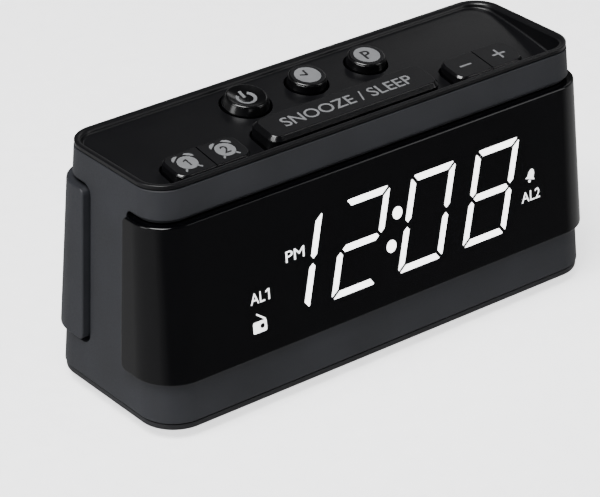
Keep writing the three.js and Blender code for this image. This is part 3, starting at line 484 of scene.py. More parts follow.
# %% Finishes by slot
SLOT_FINISH = {
    "charcoal_abs": charcoal_abs,
    "black_acrylic": window_acrylic,
    "black_abs": tray_abs,
    "grey_abs": plate_abs,
    "key_abs": key_abs,
    "soft_rubber": rubber,
    # Milky film: a soft white that hides the diodes behind it.
    "white_diffuser": moulded("milky_film", "#e9edf0", "#dfe4e8", 0.45, 0.4, 0.2),
    # Matt white ABS: the reflector's dry white walls.
    "white_abs": moulded("white_abs_matt", "#e6e7e6", "#dcdddc", 0.5, 0.4, 0.3),
    # Solder mask: glossy green with lighter tracks.
    "circuit_board": solder_mask("green_solder_mask"),
    # Zinc plate: a cool grey with fine drawn lines.
    "zinc_steel": metal("zinc_plated_steel", "#bfc1c4", "#a9abae", 0.32, 0.3),
    # Nickel plate: brighter and a little warmer than zinc.
    "nickel_steel": metal("nickel_plated_steel", "#cfc9bf", "#bdb7ad", 0.24, 0.3),
    # Pressed ferrite: a dull stony grey.
    "ferrite": moulded("pressed_ferrite", "#3b3b3e", "#2f2f32", 0.6, 0.4, 0.5, 3.0),
    # Paper pulp: black and fibrous, with no shine.
    "speaker_paper": moulded("paper_pulp", "#1c1c1e", "#131314", 0.9, 0.5, 0.8, 2.0),
    # Nylon: a waxy black.
    "socket_nylon": moulded("black_nylon", "#18181a", "#121214", 0.4, 0.4, 0.3, 3.0),
    # Grey nylon: the same wax, lighter.
    "switch_nylon": moulded("grey_nylon", "#3a3a3d", "#303033", 0.45, 0.4, 0.3, 3.0),
    # Cable film: pale, smooth and slightly yellow.
    "ribbon_film": moulded("flat_cable_film", "#cfcfc8", "#c2c2bb", 0.35, 0.5, 0.2, 4.0),
}
node_slots = {entry["node"]: entry["material_slot"] for entry in frame["record"]["subparts"]}
for node_name, node_object in NODES.items():
    node_object.data.materials.clear()
    node_object.data.materials.append(SLOT_FINISH[node_slots[node_name]])
print("frame nodes finished:", len(NODES))

# %% [markdown]
# Every visible piece belongs to a body of the frame, so that it moves with the joints. A piece
# that shows better than a frame node also says which node it stands for, and the node then steps
# back. One function does the paperwork for all of them.

# %% Handing a piece over to the frame
def fit(piece, body, slot, *materials, replaces=()):
    """Gives a piece its materials, or its slot's finish if none are given, and its body, and hides the frame nodes
    it stands for.
    """
    for material in materials or (SLOT_FINISH[slot],):
        piece.data.materials.append(material)
    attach(piece, body)
    if replaces:
        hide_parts(*replaces)
    return piece


# %% [markdown]
# ## The two shells
# The window and the rear cover are the same idea: a plate bent round three sides of the case,
# proud of it by a little over a millimetre, with rounded upright ends. A plate could be modelled
# flat and bent by a modifier, but the case tapers, so the plate would slip off its corners. Here
# the loop is laid straight on the case's outline instead. Each rounded edge is a quarter turn
# of loops that step inwards as they step out.

# %% Loops of a wrapped shell
HIDDEN_FLANGE = 0.8  # the frame's window is this much taller at its foot, down in the groove
WINDOW_LOW = corner_mm("front_lens", False).z + HIDDEN_FLANGE
WINDOW_HIGH = corner_mm("front_lens").z - HIDDEN_FLANGE
SHELL_END = 7.7
SHELL_PROUD = 1.37
SHELL_SINK = 1.2
SHELL_CORNER = 1.6
END_STEPS = 6
EDGE = 0.4


def wrapped_columns(front, end, radius):
    """Columns from one upright end, round two corners of the case, to the other end."""
    turns = quarter(END_STEPS)
    ends = [(end + radius * (1 - math.cos(t)), radius * (1 - math.sin(t))) for t in turns]
    left = [("side", -1, y, front, inset) for y, inset in ends]
    left += [("corner", -1, t, front, 0.0) for t in quarter(CORNER_STEPS)]
    right = [(kind, 1, value, side, inset) for kind, _, value, side, inset in reversed(left)]
    return left + right


def wrapped_loop(front, offset, inset, low_gap=0.0, high_gap=0.0, end_gap=0.0):
    """The shell's edge, pulled in by inset and let out by the gaps."""
    gap = min(low_gap, high_gap, end_gap)
    columns = wrapped_columns(front, SHELL_END - end_gap + inset, SHELL_CORNER - inset + gap)
    low, high = WINDOW_LOW - low_gap + inset, WINDOW_HIGH + high_gap - inset
    lows = [place(column, low + column[4], offset) for column in columns]
    highs = [place(column, high - column[4], offset) for column in columns]
    return lows + highs[::-1]


def wrapped_shell(name, front):
    """A plate sunk a little into the case, with its outer edge rounded."""
    loops = [wrapped_loop(front, -SHELL_SINK, 0)]
    for t in quarter(ROUNDING_STEPS):
        offset = SHELL_PROUD - EDGE * (1 - math.sin(t))
        loops.append(wrapped_loop(front, offset, EDGE * (1 - math.cos(t))))
    return solid(name, skin(loops, "rungs", "rungs"))


print("shells:", round(WINDOW_HIGH - WINDOW_LOW, 2), "mm tall and", SHELL_PROUD, "mm proud of the case")

# %% [markdown]
# The window is one piece of tinted acrylic that hides the display until it is lit. It has to run
# unbroken round both front corners, because the light that slides over them is nearly all that
# the eye sees of it.

# %% The black window
window = shaded(wrapped_shell("display_window", -1))
fit(window, "root", "black_acrylic", replaces=["front_lens"])
print("window from", round(WINDOW_LOW, 2), "to", round(WINDOW_HIGH, 2), "mm")

# %% [markdown]
# ## The rear cover
# The cover has slots for the speaker, a hole for the power socket and one for the aerial wire.
# They run square to the leaning back wall, so the tools are placed by a matrix whose third axis
# stands on that wall.

# %% A matrix on a leaning wall
def on_wall(node, front, offset=0.0):
    """Local x along the wall, y up it, z out of it, centred on a frame node."""
    low, high = corner_mm(node, False), corner_mm(node)
    z = (low.z + high.z) / 2
    lean = math.atan2(outline(z - 1)[1] - outline(z + 1)[1], 2)
    up = Vector((0, -front * math.sin(lean), math.cos(lean)))
    out = Vector((0, front * math.cos(lean), math.sin(lean)))
    across = up.cross(out)
    centre = Vector(((low.x + high.x) / 2, front * (outline(z)[1] + offset), z))
    return Matrix.Translation(centre) @ Matrix((across, up, out)).transposed().to_4x4()


speaker_wall = on_wall("speaker_frame", 1)
socket_wall = on_wall("dc_socket", 1)
aerial_wall = on_wall("antenna_grommet", 1)
print("speaker centre:", [round(v, 1) for v in speaker_wall.translation])

# %% [markdown]
# The grille is a round field of level slots, because slots leave the mould cleanly and keep
# fingers out. Each slot is as long as the circle allows at its height, so one loop makes them all.
# The socket's hole opens outwards, which guides the plug in.

# %% The rear cover, its grille and its holes
GRILLE_RADIUS = 15.0
GRILLE_PITCH = 3.3
GRILLE_SLOT = 1.6
SLOT_CORNER = 0.75
COVER_REACH = 6
SOCKET_HOLE = [[3.5, -COVER_REACH], [3.5, 0.9], [4.3, 1.7], [4.3, COVER_REACH]]
AERIAL_RADIUS = 2.9
cover_tools = []
rows = int(GRILLE_RADIUS / GRILLE_PITCH)
for row in range(-rows, rows + 1):
    y = row * GRILLE_PITCH
    half = math.sqrt(GRILLE_RADIUS ** 2 - y ** 2) - GRILLE_SLOT / 2
    slot = [(x, y + v) for x, v in rounded(half, GRILLE_SLOT / 2, [SLOT_CORNER] * 4, 5)]
    cover_tools.append(prism("slot", slot, -COVER_REACH, COVER_REACH, speaker_wall))
aerial_hole = [[AERIAL_RADIUS, -COVER_REACH], [AERIAL_RADIUS, COVER_REACH]]
cover_tools.append(turned("socket_hole", SOCKET_HOLE, socket_wall))
cover_tools.append(turned("aerial_hole", aerial_hole, aerial_wall))
cover = shaded(cut(wrapped_shell("back_cover", 1), *cover_tools))
fit(cover, "root", "charcoal_abs", replaces=["rear_cover"])
print("grille slots:", 2 * rows + 1)

# %% [markdown]
# ## The case
# The case is one sleeve from the seam above the base plate to the rim. The shells sit in shallow
# pockets. The rear cover has a dark groove all round, but the window has it only along its top,
# and fits tightly elsewhere, so the front pocket is let out there alone. The sleeve is made
# face by face: a low band, a high band, a plain strip at each end, and the pockets between.

# %% Pockets in the outline
CASE_LOW = corner_mm("housing", False).z
CASE_HIGH = corner_mm("housing").z
WALL = 2.6
LIP_WALL = 1.0
LIP_DEPTH = 8
POCKET = 2.2
GROOVE = 1.1
TIGHT = 0.12
CASE_EDGE = 0.25
GAPS = {-1: (TIGHT, GROOVE, TIGHT), 1: (GROOVE, GROOVE, GROOVE)}  # below, above, at the ends
SPEAKER_GAP = 0.6
SOCKET_SEAT = 4.2
SEAT_LOW, SEAT_HIGH = -8, 4


def pocket_loop(front, offset, inset):
    """The shell's loop, let out by the gaps of its pocket."""
    return wrapped_loop(front, offset, inset, *GAPS[front])


def pocket_edge(front):
    """Lower and upper edge of a pocket where it meets the outside, left to right."""
    loop = pocket_loop(front, 0, -CASE_EDGE)
    return loop[:len(loop) // 2], loop[len(loop) // 2:][::-1]


def case_columns(front):
    """Columns of a pocket's edge, so that the bands above and below it match point for point."""
    end = SHELL_END - GAPS[front][2] - CASE_EDGE
    return wrapped_columns(front, end, SHELL_CORNER + CASE_EDGE + min(GAPS[front]))


def case_ring(z, offset, level=None):
    """A closed ring round the whole case."""
    front = [place(column, z, offset, level) for column in case_columns(-1)]
    rear = [place(column, z, offset, level) for column in case_columns(1)]
    return front + rear[::-1]


print("case from", round(CASE_LOW, 2), "to", round(CASE_HIGH, 2), "mm, pockets", POCKET, "mm deep")

# %% [markdown]
# The sleeve's two ends and its inside are plain rings. The wall is thinner near the rim, which
# makes the ledge that the top panel's skirt drops into. Three round seats then open the rear
# wall behind the grille, the socket and the grommet.

# %% The case sleeve
def case_sleeve():
    """Bands, end strips, pockets and the wall inside, as one closed skin."""
    faces = []
    low_z, high_z = CASE_LOW + CASE_EDGE, CASE_HIGH - CASE_EDGE
    edges = {}
    for front in (-1, 1):
        lows, highs = pocket_edge(front)
        base = [place(column, low_z, 0) for column in case_columns(front)]
        top = [place(column, high_z, 0) for column in case_columns(front)]
        faces += open_band(base, lows) + open_band(highs, top)
        loops = [
            pocket_loop(front, -CASE_EDGE * (1 - math.cos(t)), -CASE_EDGE * (1 - math.sin(t)))
            for t in quarter(ROUNDING_STEPS)
        ]
        faces += skin(loops + [pocket_loop(front, -POCKET, 0)], None, "rungs")
        edges[front] = (base, lows, highs, top)
    for end in (0, -1):
        strip = [line[end] for line in edges[-1]] + [line[end] for line in reversed(edges[1])]
        faces.append(strip)
    rings = [case_ring(low_z, 0)]
    rings += [
        case_ring(low_z - CASE_EDGE * math.sin(t), -CASE_EDGE * (1 - math.cos(t)))
        for t in quarter(ROUNDING_STEPS)
    ]
    rings += [case_ring(CASE_LOW, -WALL), case_ring(CASE_HIGH - LIP_DEPTH, -WALL)]
    rings += [case_ring(CASE_HIGH - LIP_DEPTH, -LIP_WALL), case_ring(CASE_HIGH, -LIP_WALL)]
    rings += [
        case_ring(high_z + CASE_EDGE * math.sin(t), -CASE_EDGE * (1 - math.cos(t)))
        for t in reversed(quarter(ROUNDING_STEPS))
    ]
    return solid("case_sleeve", faces + skin(rings))


def seat(name, radius, wall):
    """A round tool through the case's wall."""
    return turned(name, [[radius, SEAT_LOW], [radius, SEAT_HIGH]], wall)


sleeve = cut(
    case_sleeve(),
    seat("speaker_hole", GRILLE_RADIUS + SPEAKER_GAP, speaker_wall),
    seat("socket_seat", SOCKET_SEAT, socket_wall),
    seat("aerial_seat", AERIAL_RADIUS, aerial_wall),
)
fit(shaded(sleeve), "root", "charcoal_abs", replaces=["housing"])
print("case faces:", len(sleeve.data.polygons))

# %% [markdown]
# ## The top tray
# The top panel is a rim with straight walls down to a floor that slopes to the front and is
# slightly crowned, like a shallow barrel. The floor's height depends only on the distance from
# front to back, so it can be laid in strips from side to side with no error. The slope is read
# from the direction in which the keys move, since they press square to the floor.

# %% The deck
press = Vector(next(j["axis"] for j in frame["joints"] if j["name"] == "snooze_press"))
DECK_TILT = math.atan2(press.y, -press.z)
DECK_DROP = 3.3
CROWN = 190.0
deck = Matrix.Translation((0, 0, Z_RIM - DECK_DROP)) @ Matrix.Rotation(DECK_TILT, 4, "X")
crown_centre = deck @ Vector((0, 0, -CROWN))


def floor_height(y):
    """Height of the crowned floor at a distance from front to back."""
    return crown_centre.z + math.sqrt(CROWN ** 2 - (y - crown_centre.y) ** 2)


def deck_box(node):
    """Lowest and highest corner of a frame node, in the deck's own directions."""
    inverse = deck.inverted()
    points = [inverse @ (vertex.co / MM) for vertex in NODES[node].data.vertices]
    low = Vector([min(p[k] for p in points) for k in range(3)])
    high = Vector([max(p[k] for p in points) for k in range(3)])
    return low, high


print("deck tilt:", round(math.degrees(DECK_TILT), 2), "degrees")

# %% [markdown]
# The tray is skinned over closed rings. Each ring has the same columns: round the two corners of
# the right side, along the side between them, and the same mirrored on the left. A ring may
# follow the crowned floor, so its height can be a function of y.

# %% Rings for the tray
SIDE_START, SIDE_LENGTH, SIDE_STEPS = -10.5, 21, 12


def half_columns():
    """Columns of the right half, from front to back."""
    ys = [SIDE_START + SIDE_LENGTH * k / SIDE_STEPS for k in range(SIDE_STEPS + 1)]
    front = [("corner", 1, t, -1) for t in reversed(quarter(CORNER_STEPS))]
    back = [("corner", 1, t, 1) for t in quarter(CORNER_STEPS)]
    return front + [("side", 1, y, 1) for y in ys] + back


def panel_ring(height, offset, level=Z_RIM):
    """A closed ring; height is a number, or a function of y."""
    right = []
    for column in half_columns():
        point = place(column, 0, offset, level)
        point.z = height(point.y) if callable(height) else height
        right.append(point)
    left = [Vector((-p.x, p.y, p.z)) for p in right]
    return right + left[::-1]


print("points in a ring:", 2 * len(half_columns()))

# %% [markdown]
# The rim is rounded most on its inner side, where it rolls down to the floor, and the light draws
# a soft line there. The fillet at its foot is what a cutter leaves in the mould. The holes are
# cut square to the deck and are smaller than the keys' flanges, so that the keys can't come out.

# %% The tray and its key holes
RIM_WIDTH = 1.8
RIM_EDGE = 0.25
RIM_ROLL_IN = 1.25
RIM_ROLL_DOWN = 0.9
FILLET = 0.5
FLOOR_THICKNESS = 1.6
SKIRT_LOW = corner_mm("top_panel", False).z + 1.0
SKIRT_OUT, SKIRT_IN = -1.3, -2.1
SEAM = 0.1
FLANGE = 1.3
FLANGE_REACH = 0.8
HOLE_CORNER = 3.3
HOLE_REACH = 8


def tray_rings():
    """The rings that show: outer edge, rounded rim and fillet."""
    outer = [panel_ring(Z_TOP, -SEAM, Z_TOP)]
    outer += [
        panel_ring(Z_RIM - RIM_EDGE * (1 - math.sin(t)), -RIM_EDGE * (1 - math.cos(t)))
        for t in quarter(ROUNDING_STEPS)
    ]
    inner = [
        panel_ring(
            Z_RIM - RIM_ROLL_DOWN * (1 - math.cos(t)), -RIM_WIDTH + RIM_ROLL_IN * (1 - math.sin(t)),
        )
        for t in quarter(ROUNDING_STEPS * 2)
    ]
    feet = [
        panel_ring(
            lambda y, t=t: floor_height(y) + FILLET * (1 - math.sin(t)),
            -RIM_WIDTH - FILLET * (1 - math.cos(t)),
        )
        for t in quarter(ROUNDING_STEPS)
    ]
    return outer + inner + feet


def tray_under():
    """The rings that don't show: the skirt and the underside of the floor."""
    under = [panel_ring(Z_TOP, SKIRT_OUT, Z_TOP), panel_ring(SKIRT_LOW, SKIRT_OUT, SKIRT_LOW)]
    under += [panel_ring(SKIRT_LOW, SKIRT_IN, SKIRT_LOW)]
    return under + [panel_ring(lambda y: floor_height(y) - FLOOR_THICKNESS, SKIRT_IN, Z_TOP)]


def tray():
    top, under = tray_rings(), tray_under()
    faces = skin(top, None, "rungs") + skin(under, None, "rungs") + band(top[0], under[0])
    return solid("key_tray", faces)


def key_hole(first, last=None, corner=HOLE_CORNER):
    """A tool for the hole of one key, or of a pair; with no corner radius it is round."""
    low, high = deck_box(first)[0], deck_box(last or first)[1]
    half_x = (high.x - low.x) / 2 - FLANGE_REACH
    half_y = (high.y - low.y) / 2 - FLANGE_REACH
    centre = deck @ Matrix.Translation(((low.x + high.x) / 2, (low.y + high.y) / 2, 0))
    if corner is None:
        return turned("hole", [[half_x, -HOLE_REACH], [half_x, HOLE_REACH]], centre)
    return prism("hole", rounded(half_x, half_y, [corner] * 4), -HOLE_REACH, HOLE_REACH, centre)


key_tray = cut(
    tray(),
    key_hole("alarm_1_key", "alarm_2_key"),
    key_hole("minus_key", "plus_key"),
    key_hole("snooze_bar"),
    *[key_hole(name, corner=None) for name in ("power_button", "clock_button", "preset_button")],
)
fit(shaded(key_tray), "root", "black_abs", replaces=["top_panel"])
print("tray faces:", len(key_tray.data.polygons))

# %% [markdown]
# ## The keys
# Each key is a cap with a flange under the tray that stops it from coming out. The caps have a
# narrow vertical side, a chamfer and a flat top. Pairs share one outline, cut in two by a hair
# gap, so each half has two wide corners and two square ones. The chamfer was polished in the
# mould and the top was grained, so the faces carry two materials.

# %% Key caps
FLANGE_TOP = -FLOOR_THICKNESS - 0.9
FLANGE_THICKNESS = 0.8
WIDE_CORNER = 2.8
LEAST_CORNER = 0.08
HALF_CHAMFER = 0.5
BAR_CHAMFER = 1.0
SOFT_EDGE = 0.12
PAST_SPLIT = 5.0
LEVEL_WITH_DECK = 0.99
KEY_SHARP = 25
DECK_UP = deck.to_3x3() @ Vector((0, 0, 1))


def cap_faces(half_x, half_y, radii, rise, chamfer):
    """Loops from the flange up to the flat top; every edge of the chamfer is slightly softened."""
    def loop(inset, height):
        corners = [max(r - inset, LEAST_CORNER) for r in radii]
        shape = rounded(half_x - inset, half_y - inset, corners)
        return [Vector((x, y, height)) for x, y in shape]

    soft = SOFT_EDGE
    profile = [(-FLANGE, FLANGE_TOP - FLANGE_THICKNESS), (-FLANGE, FLANGE_TOP), (0, FLANGE_TOP)]
    profile += [(0, rise - chamfer - soft), (soft * 0.3, rise - chamfer)]
    profile += [(chamfer - soft, rise - soft), (chamfer, rise - soft * 0.3), (chamfer + soft, rise)]
    return skin([loop(inset, height) for inset, height in profile], "flat", "flat")


def top_faces(cap):
    """Gives the grained finish to the flat top and the polished one to all other faces."""
    for face in cap.data.polygons:
        face.material_index = 0 if face.normal.dot(DECK_UP) > LEVEL_WITH_DECK else 1


def key_cap(name, node, radii, chamfer, sides=(FLANGE, FLANGE)):
    """A cap over a frame node; sides are how far the flange passes the cap at low and high x."""
    low, high = deck_box(node)
    x0, x1 = low.x + sides[0], high.x - sides[1]
    y0, y1 = low.y + FLANGE, high.y - FLANGE
    rise = high.z
    centre = Matrix.Translation(((x0 + x1) / 2, (y0 + y1) / 2, 0))
    cap = solid(name, cap_faces((x1 - x0) / 2, (y1 - y0) / 2, radii, rise, chamfer), deck @ centre)
    top_faces(cap)
    return cap, (x0 + x1) / 2, (y0 + y1) / 2, rise


def half_cap(name, node, side):
    """One half of a pair: made past the split with its edges all round, then cut square at it."""
    sides = (FLANGE, -PAST_SPLIT) if side < 0 else (-PAST_SPLIT, FLANGE)
    cap, _, y, rise = key_cap(name, node, [WIDE_CORNER] * 4, HALF_CHAMFER, sides)
    low, high = deck_box(node)
    split = high.x if side < 0 else low.x
    for vertex in cap.data.vertices:
        if (split * MM - vertex.co.x) * side > 0:
            vertex.co.x = split * MM
    cleaned(cap.data)
    top_faces(cap)
    return cap, (split + (low.x + FLANGE if side < 0 else high.x - FLANGE)) / 2, y, rise


key_tops = {}
for body, side in (("alarm_1_key", -1), ("alarm_2_key", 1), ("minus_key", -1), ("plus_key", 1)):
    cap, x, y, rise = half_cap(body + "_cap", body, side)
    fit(shaded(cap, KEY_SHARP), body, "key_abs", key_abs, key_edge_abs, replaces=[body])
    key_tops[body] = (x, y, rise)
cap, x, y, rise = key_cap("snooze_bar_cap", "snooze_bar", [WIDE_CORNER] * 4, BAR_CHAMFER)
fit(shaded(cap, KEY_SHARP), "snooze_bar", "key_abs", key_abs, key_edge_abs, replaces=["snooze_bar"])
key_tops["snooze_bar"] = (x, y, rise)
print({name: [round(v, 2) for v in top] for name, top in key_tops.items()})

# %% [markdown]
# The three round buttons are turned shapes. Two have flat tops for a printed disc. The power
# button is dished so that a finger finds it in the dark, and it is polished all over.

# %% Round buttons
DISH = 0.9
DISH_SHARES = (0.96, 0.88, 0.76, 0.62, 0.46, 0.3, 0.14)
POWER_SKIRT, FLAT_SKIRT = 0.85, 0.4
BUTTON_LIP = 0.45
LIP_STEPS = 5
SHOULDER_IN, SHOULDER_UP = 0.15, 0.3
BUTTON_SIDES = 72
BUTTON_SHARP = 30


def round_button(name, node, skirt, dish):
    """A turned cap; skirt is how much wider its foot is than its top."""
    low, high = deck_box(node)
    centre = ((low.x + high.x) / 2, (low.y + high.y) / 2)
    flange = (high.x - low.x) / 2
    foot = flange - FLANGE
    radius, rise, lip = foot - skirt, high.z, BUTTON_LIP
    profile = [[flange, FLANGE_TOP - FLANGE_THICKNESS], [flange, FLANGE_TOP], [foot, FLANGE_TOP]]
    profile += [[foot, 0], [foot - SHOULDER_IN, SHOULDER_UP], [radius + 0.05, rise - lip - 0.05]]
    for t in quarter(LIP_STEPS):
        profile.append([radius - lip * (1 - math.cos(t)), rise - lip * (1 - math.sin(t))])
    inner = radius - lip
    if dish:
        profile += [[inner * share, rise - dish * (1 - share ** 2)] for share in DISH_SHARES]
    button = turned(name, profile, deck @ Matrix.Translation((*centre, 0)), BUTTON_SIDES)
    for face in button.data.polygons:
        level = face.normal.dot(DECK_UP) > LEVEL_WITH_DECK
        flat_top = not dish and level and len(face.vertices) > 4
        face.material_index = 0 if flat_top else 1
    return button, (*centre, rise), inner


button_inner = {}
for body, skirt, dish in (
    ("power_button", POWER_SKIRT, DISH),
    ("clock_button", FLAT_SKIRT, 0),
    ("preset_button", FLAT_SKIRT, 0),
):
    button, key_tops[body], button_inner[body] = round_button(body + "_cap", body, skirt, dish)
    fit(shaded(button, BUTTON_SHARP), body, "key_abs", key_abs, gloss_abs, replaces=[body])
print("button radii:", {name: round(value, 2) for name, value in button_inner.items()})

# %% [markdown]
# ## Legends
# The legends are pad-printed: a soft pad lays down a film of ink a few hundredths of a millimetre
# thick. They could be painted in a texture, but thin pieces of ink keep their edges sharp at
# any distance. Each is a flat shape placed by a matrix, and moves with its key.

# %% Thin printed shapes
INK = 0.03


def printed(
    name, shapes, matrix, body, material,
    slot="key_abs", thickness=INK, lift=0.0, bend=None, caps="flat",
):
    """Raises flat outlines into a film; bend gives a height for each point of a curved top."""
    faces = []
    for shape in shapes:
        loops = []
        for z in (lift, lift + thickness):
            loops.append([Vector((x, y, z + (bend(x, y) if bend else 0))) for x, y in shape])
        faces += skin(loops, caps, caps)
    return fit(solid(name, faces, matrix), body, slot, material)


def disc(radius, centre=(0, 0), sides=40):
    """A round outline."""
    return [(p.x, p.y) for p in ring(radius, 0, sides, centre)]


def bar(start, end, width):
    """A straight stroke with square ends."""
    direction = (Vector(end) - Vector(start)).normalized()
    side = Vector((-direction.y, direction.x)) * width / 2
    a, b = Vector(start), Vector(end)
    return [tuple(p) for p in (a - side, b - side, b + side, a + side)]


def arc_stroke(radius, width, start, end, steps):
    """A stroke along an arc: out along its outer edge and back along its inner one."""
    angles = [math.radians(start + (end - start) * k / steps) for k in range(steps + 1)]
    outer = [((radius + width / 2) * math.cos(t), (radius + width / 2) * math.sin(t)) for t in angles]
    inner = [((radius - width / 2) * math.cos(t), (radius - width / 2) * math.sin(t)) for t in angles]
    return outer + inner[::-1]


def key_matrix(body):
    """The middle of a key's top, level with it."""
    x, y, rise = key_tops[body]
    return deck @ Matrix.Translation((x, y, rise))


print("ink", INK, "mm thick on", len(key_tops), "keys")

# %% [markdown]
# The words are plain upright capitals. Blender's text object draws them with its own font, and
# they are then scaled, so that the ink has the real width and height whatever the font is. A
# small weight thickens the strokes to match the print.

# %% Lettering
INK_WEIGHT, NUMERAL_WEIGHT, LETTER_WEIGHT = 0.006, 0.012, 0.014


def lettering(
    name, text, width, height, matrix, body, material,
    slot="key_abs", thickness=INK, lift=0.0, weight=INK_WEIGHT,
):
    """Text as a thin solid, scaled so that its ink is width by height and centred."""
    curve = bpy.data.curves.new(name, "FONT")
    curve.body = text
    curve.resolution_u = 5
    curve.offset = weight
    curve.extrude = 0.5
    writing = bpy.data.objects.new(name + "_text", curve)
    bpy.context.scene.collection.objects.link(writing)
    bpy.context.view_layer.update()
    mesh = bpy.data.meshes.new_from_object(writing.evaluated_get(bpy.context.evaluated_depsgraph_get()))
    bpy.data.objects.remove(writing)
    xs = [vertex.co.x for vertex in mesh.vertices]
    ys = [vertex.co.y for vertex in mesh.vertices]
    middle = Vector(((min(xs) + max(xs)) / 2, (min(ys) + max(ys)) / 2, -0.5))
    scale = (width / (max(xs) - min(xs)), height / (max(ys) - min(ys)), thickness)
    for vertex in mesh.vertices:
        local = vertex.co - middle
        point = Vector((local.x * scale[0], local.y * scale[1], local.z * scale[2] + lift))
        vertex.co = (matrix @ point) * MM
    cleaned(mesh)
    mesh.materials.clear()
    piece = bpy.data.objects.new(name, mesh)
    bpy.context.scene.collection.objects.link(piece)
    return fit(piece, body, slot, material)


snooze_legend = lettering(
    "snooze_legend", "SNOOZE / SLEEP", 38.6, 3.5, key_matrix("snooze_bar"), "snooze_bar", legend_ink,
)
print("legend points:", len(snooze_legend.data.vertices))

# %% [markdown]
# The two alarm keys show a clock with two bells and two feet, which says alarm in any language.
# The number on its face is printed a second time in black, over the grey.

# %% Alarm symbols
FACE_RADIUS = 2.5
BELL_TURNS, FOOT_TURNS = (52, 128), (-52, -128)
BELL_AT, BELL_HALF, BELL_RISE, BELL_STEPS = 2.92, 1.25, 0.85, 8
FOOT_START, FOOT_END, FOOT_WIDTH = 2.3, 3.65, 0.5


def alarm_symbol():
    shapes = [disc(FACE_RADIUS)]
    for turn in BELL_TURNS:
        t = math.radians(turn)
        out = Vector((math.cos(t), math.sin(t)))
        along = Vector((-out.y, out.x))
        base = out * BELL_AT
        dome = []
        for k in range(BELL_STEPS + 1):
            swing = math.pi * k / BELL_STEPS
            point = base + along * BELL_HALF * math.cos(swing) + out * BELL_RISE * math.sin(swing)
            dome.append(tuple(point))
        shapes.append(dome)
    for turn in FOOT_TURNS:
        t = math.radians(turn)
        out = Vector((math.cos(t), math.sin(t)))
        shapes.append(bar(FOOT_START * out, FOOT_END * out, FOOT_WIDTH))
    return shapes


def numeral_one(height, stroke):
    """A stem and a flag; the plain font draws this numeral as a bare stem."""
    return [[
        (0, -height / 2), (stroke, -height / 2), (stroke, height / 2), (0, height / 2),
        (-height * 0.27, height * 0.36), (-height * 0.27, height * 0.2), (0, height * 0.33),
    ]]


for number, body in (("1", "alarm_1_key"), ("2", "alarm_2_key")):
    printed("alarm_" + number + "_symbol", alarm_symbol(), key_matrix(body), body, legend_ink)
printed(
    "alarm_1_numeral", numeral_one(2.6, 0.42), key_matrix("alarm_1_key"), "alarm_1_key", dark_ink,
    lift=INK,
)
lettering(
    "alarm_2_numeral", "2", 1.85, 2.8, key_matrix("alarm_2_key"), "alarm_2_key", dark_ink,
    lift=INK, weight=NUMERAL_WEIGHT,
)
print("alarm symbol:", len(alarm_symbol()), "shapes")

# %% [markdown]
# The other keys carry the simplest signs that still read: strokes for minus and plus, a pale disc
# with dark hands or a letter on the two small buttons, and the power sign down in its dish. The
# plus is drawn as one long and two short strokes, so that no two films lie in one place.

# %% Minus, plus, clock, preset and power symbols
MINUS_HALF, MINUS_WIDTH = 1.75, 0.52
PLUS_HALF, PLUS_WIDTH = 1.95, 0.56
DISC_RADIUS = 3.25
HAND_WIDTH = 0.55
POWER_ARC, POWER_STROKE = 2.15, 0.8
ARC_START, ARC_END, ARC_STEPS = 130, 410, 30
BAR_LOW, BAR_STEP, BAR_STEPS = 0.5, 0.6, 5
FILM_ABOVE_DISH = 0.03
minus = [bar((-MINUS_HALF, 0), (MINUS_HALF, 0), MINUS_WIDTH)]
printed("minus_symbol", minus, key_matrix("minus_key"), "minus_key", legend_ink)
plus = [
    bar((-PLUS_HALF, 0), (PLUS_HALF, 0), PLUS_WIDTH),
    bar((0, PLUS_WIDTH / 2), (0, PLUS_HALF), PLUS_WIDTH),
    bar((0, -PLUS_HALF), (0, -PLUS_WIDTH / 2), PLUS_WIDTH),
]
printed("plus_symbol", plus, key_matrix("plus_key"), "plus_key", legend_ink)
for body in ("clock_button", "preset_button"):
    printed(body + "_disc", [disc(DISC_RADIUS, sides=64)], key_matrix(body), body, legend_ink)
hands = [bar((0, 0), (0.15, 2.1), HAND_WIDTH), bar((0, 0), (-1.7, 0.75), HAND_WIDTH)]
printed("clock_hands", hands, key_matrix("clock_button"), "clock_button", dark_ink, lift=INK)
lettering(
    "preset_letter", "P", 2.3, 3.4, key_matrix("preset_button"), "preset_button", dark_ink,
    lift=INK, weight=LETTER_WEIGHT,
)


def in_dish(x, y):
    """Height of the dish below the button's top, with the film on it."""
    share = math.hypot(x, y) / button_inner["power_button"]
    return -DISH * (1 - share ** 2) + FILM_ABOVE_DISH


heights = [BAR_LOW + BAR_STEP * k for k in range(BAR_STEPS)]
power_arc = arc_stroke(POWER_ARC, POWER_STROKE, ARC_START, ARC_END, ARC_STEPS)
half_stroke = POWER_STROKE / 2
power_bar = [(-half_stroke, y) for y in heights] + [(half_stroke, y) for y in reversed(heights)]
printed(
    "power_symbol", [power_arc, power_bar], key_matrix("power_button"), "power_button", legend_ink,
    bend=in_dish, caps="rungs",
)

# %% [markdown]
# ## The display
# Seven segments make each digit, leaning to the right. The corner segments are mitred like a
# picture frame, with the outer tip nipped off, and the waist segments are pointed at both ends.
# Behind the real window sits a white reflector; only what is lit shows through the tint, so
# thin lit pieces on the window's face stand for the light.

# %% Segments of one digit
DIGIT_PITCH = 20.2
DIGIT_HALF_WIDTH = 6.0
DIGIT_HALF_HEIGHT = 10.95
DIGIT_SLANT = 0.245
SEGMENT = 1.7
SPLIT = 0.55
NIP = 0.5

display_mid = corner_mm("display_reflector", False).lerp(corner_mm("display_reflector"), 0.5)
face_wall = on_wall("segment_diffuser", -1, SHELL_PROUD)
face_wall.translation.x = display_mid.x


def turned_over(shape, across, up):
    """The same outline mirrored left to right, or top to bottom, where the sign is -1."""
    return [(across * x, up * y) for x, y in shape]


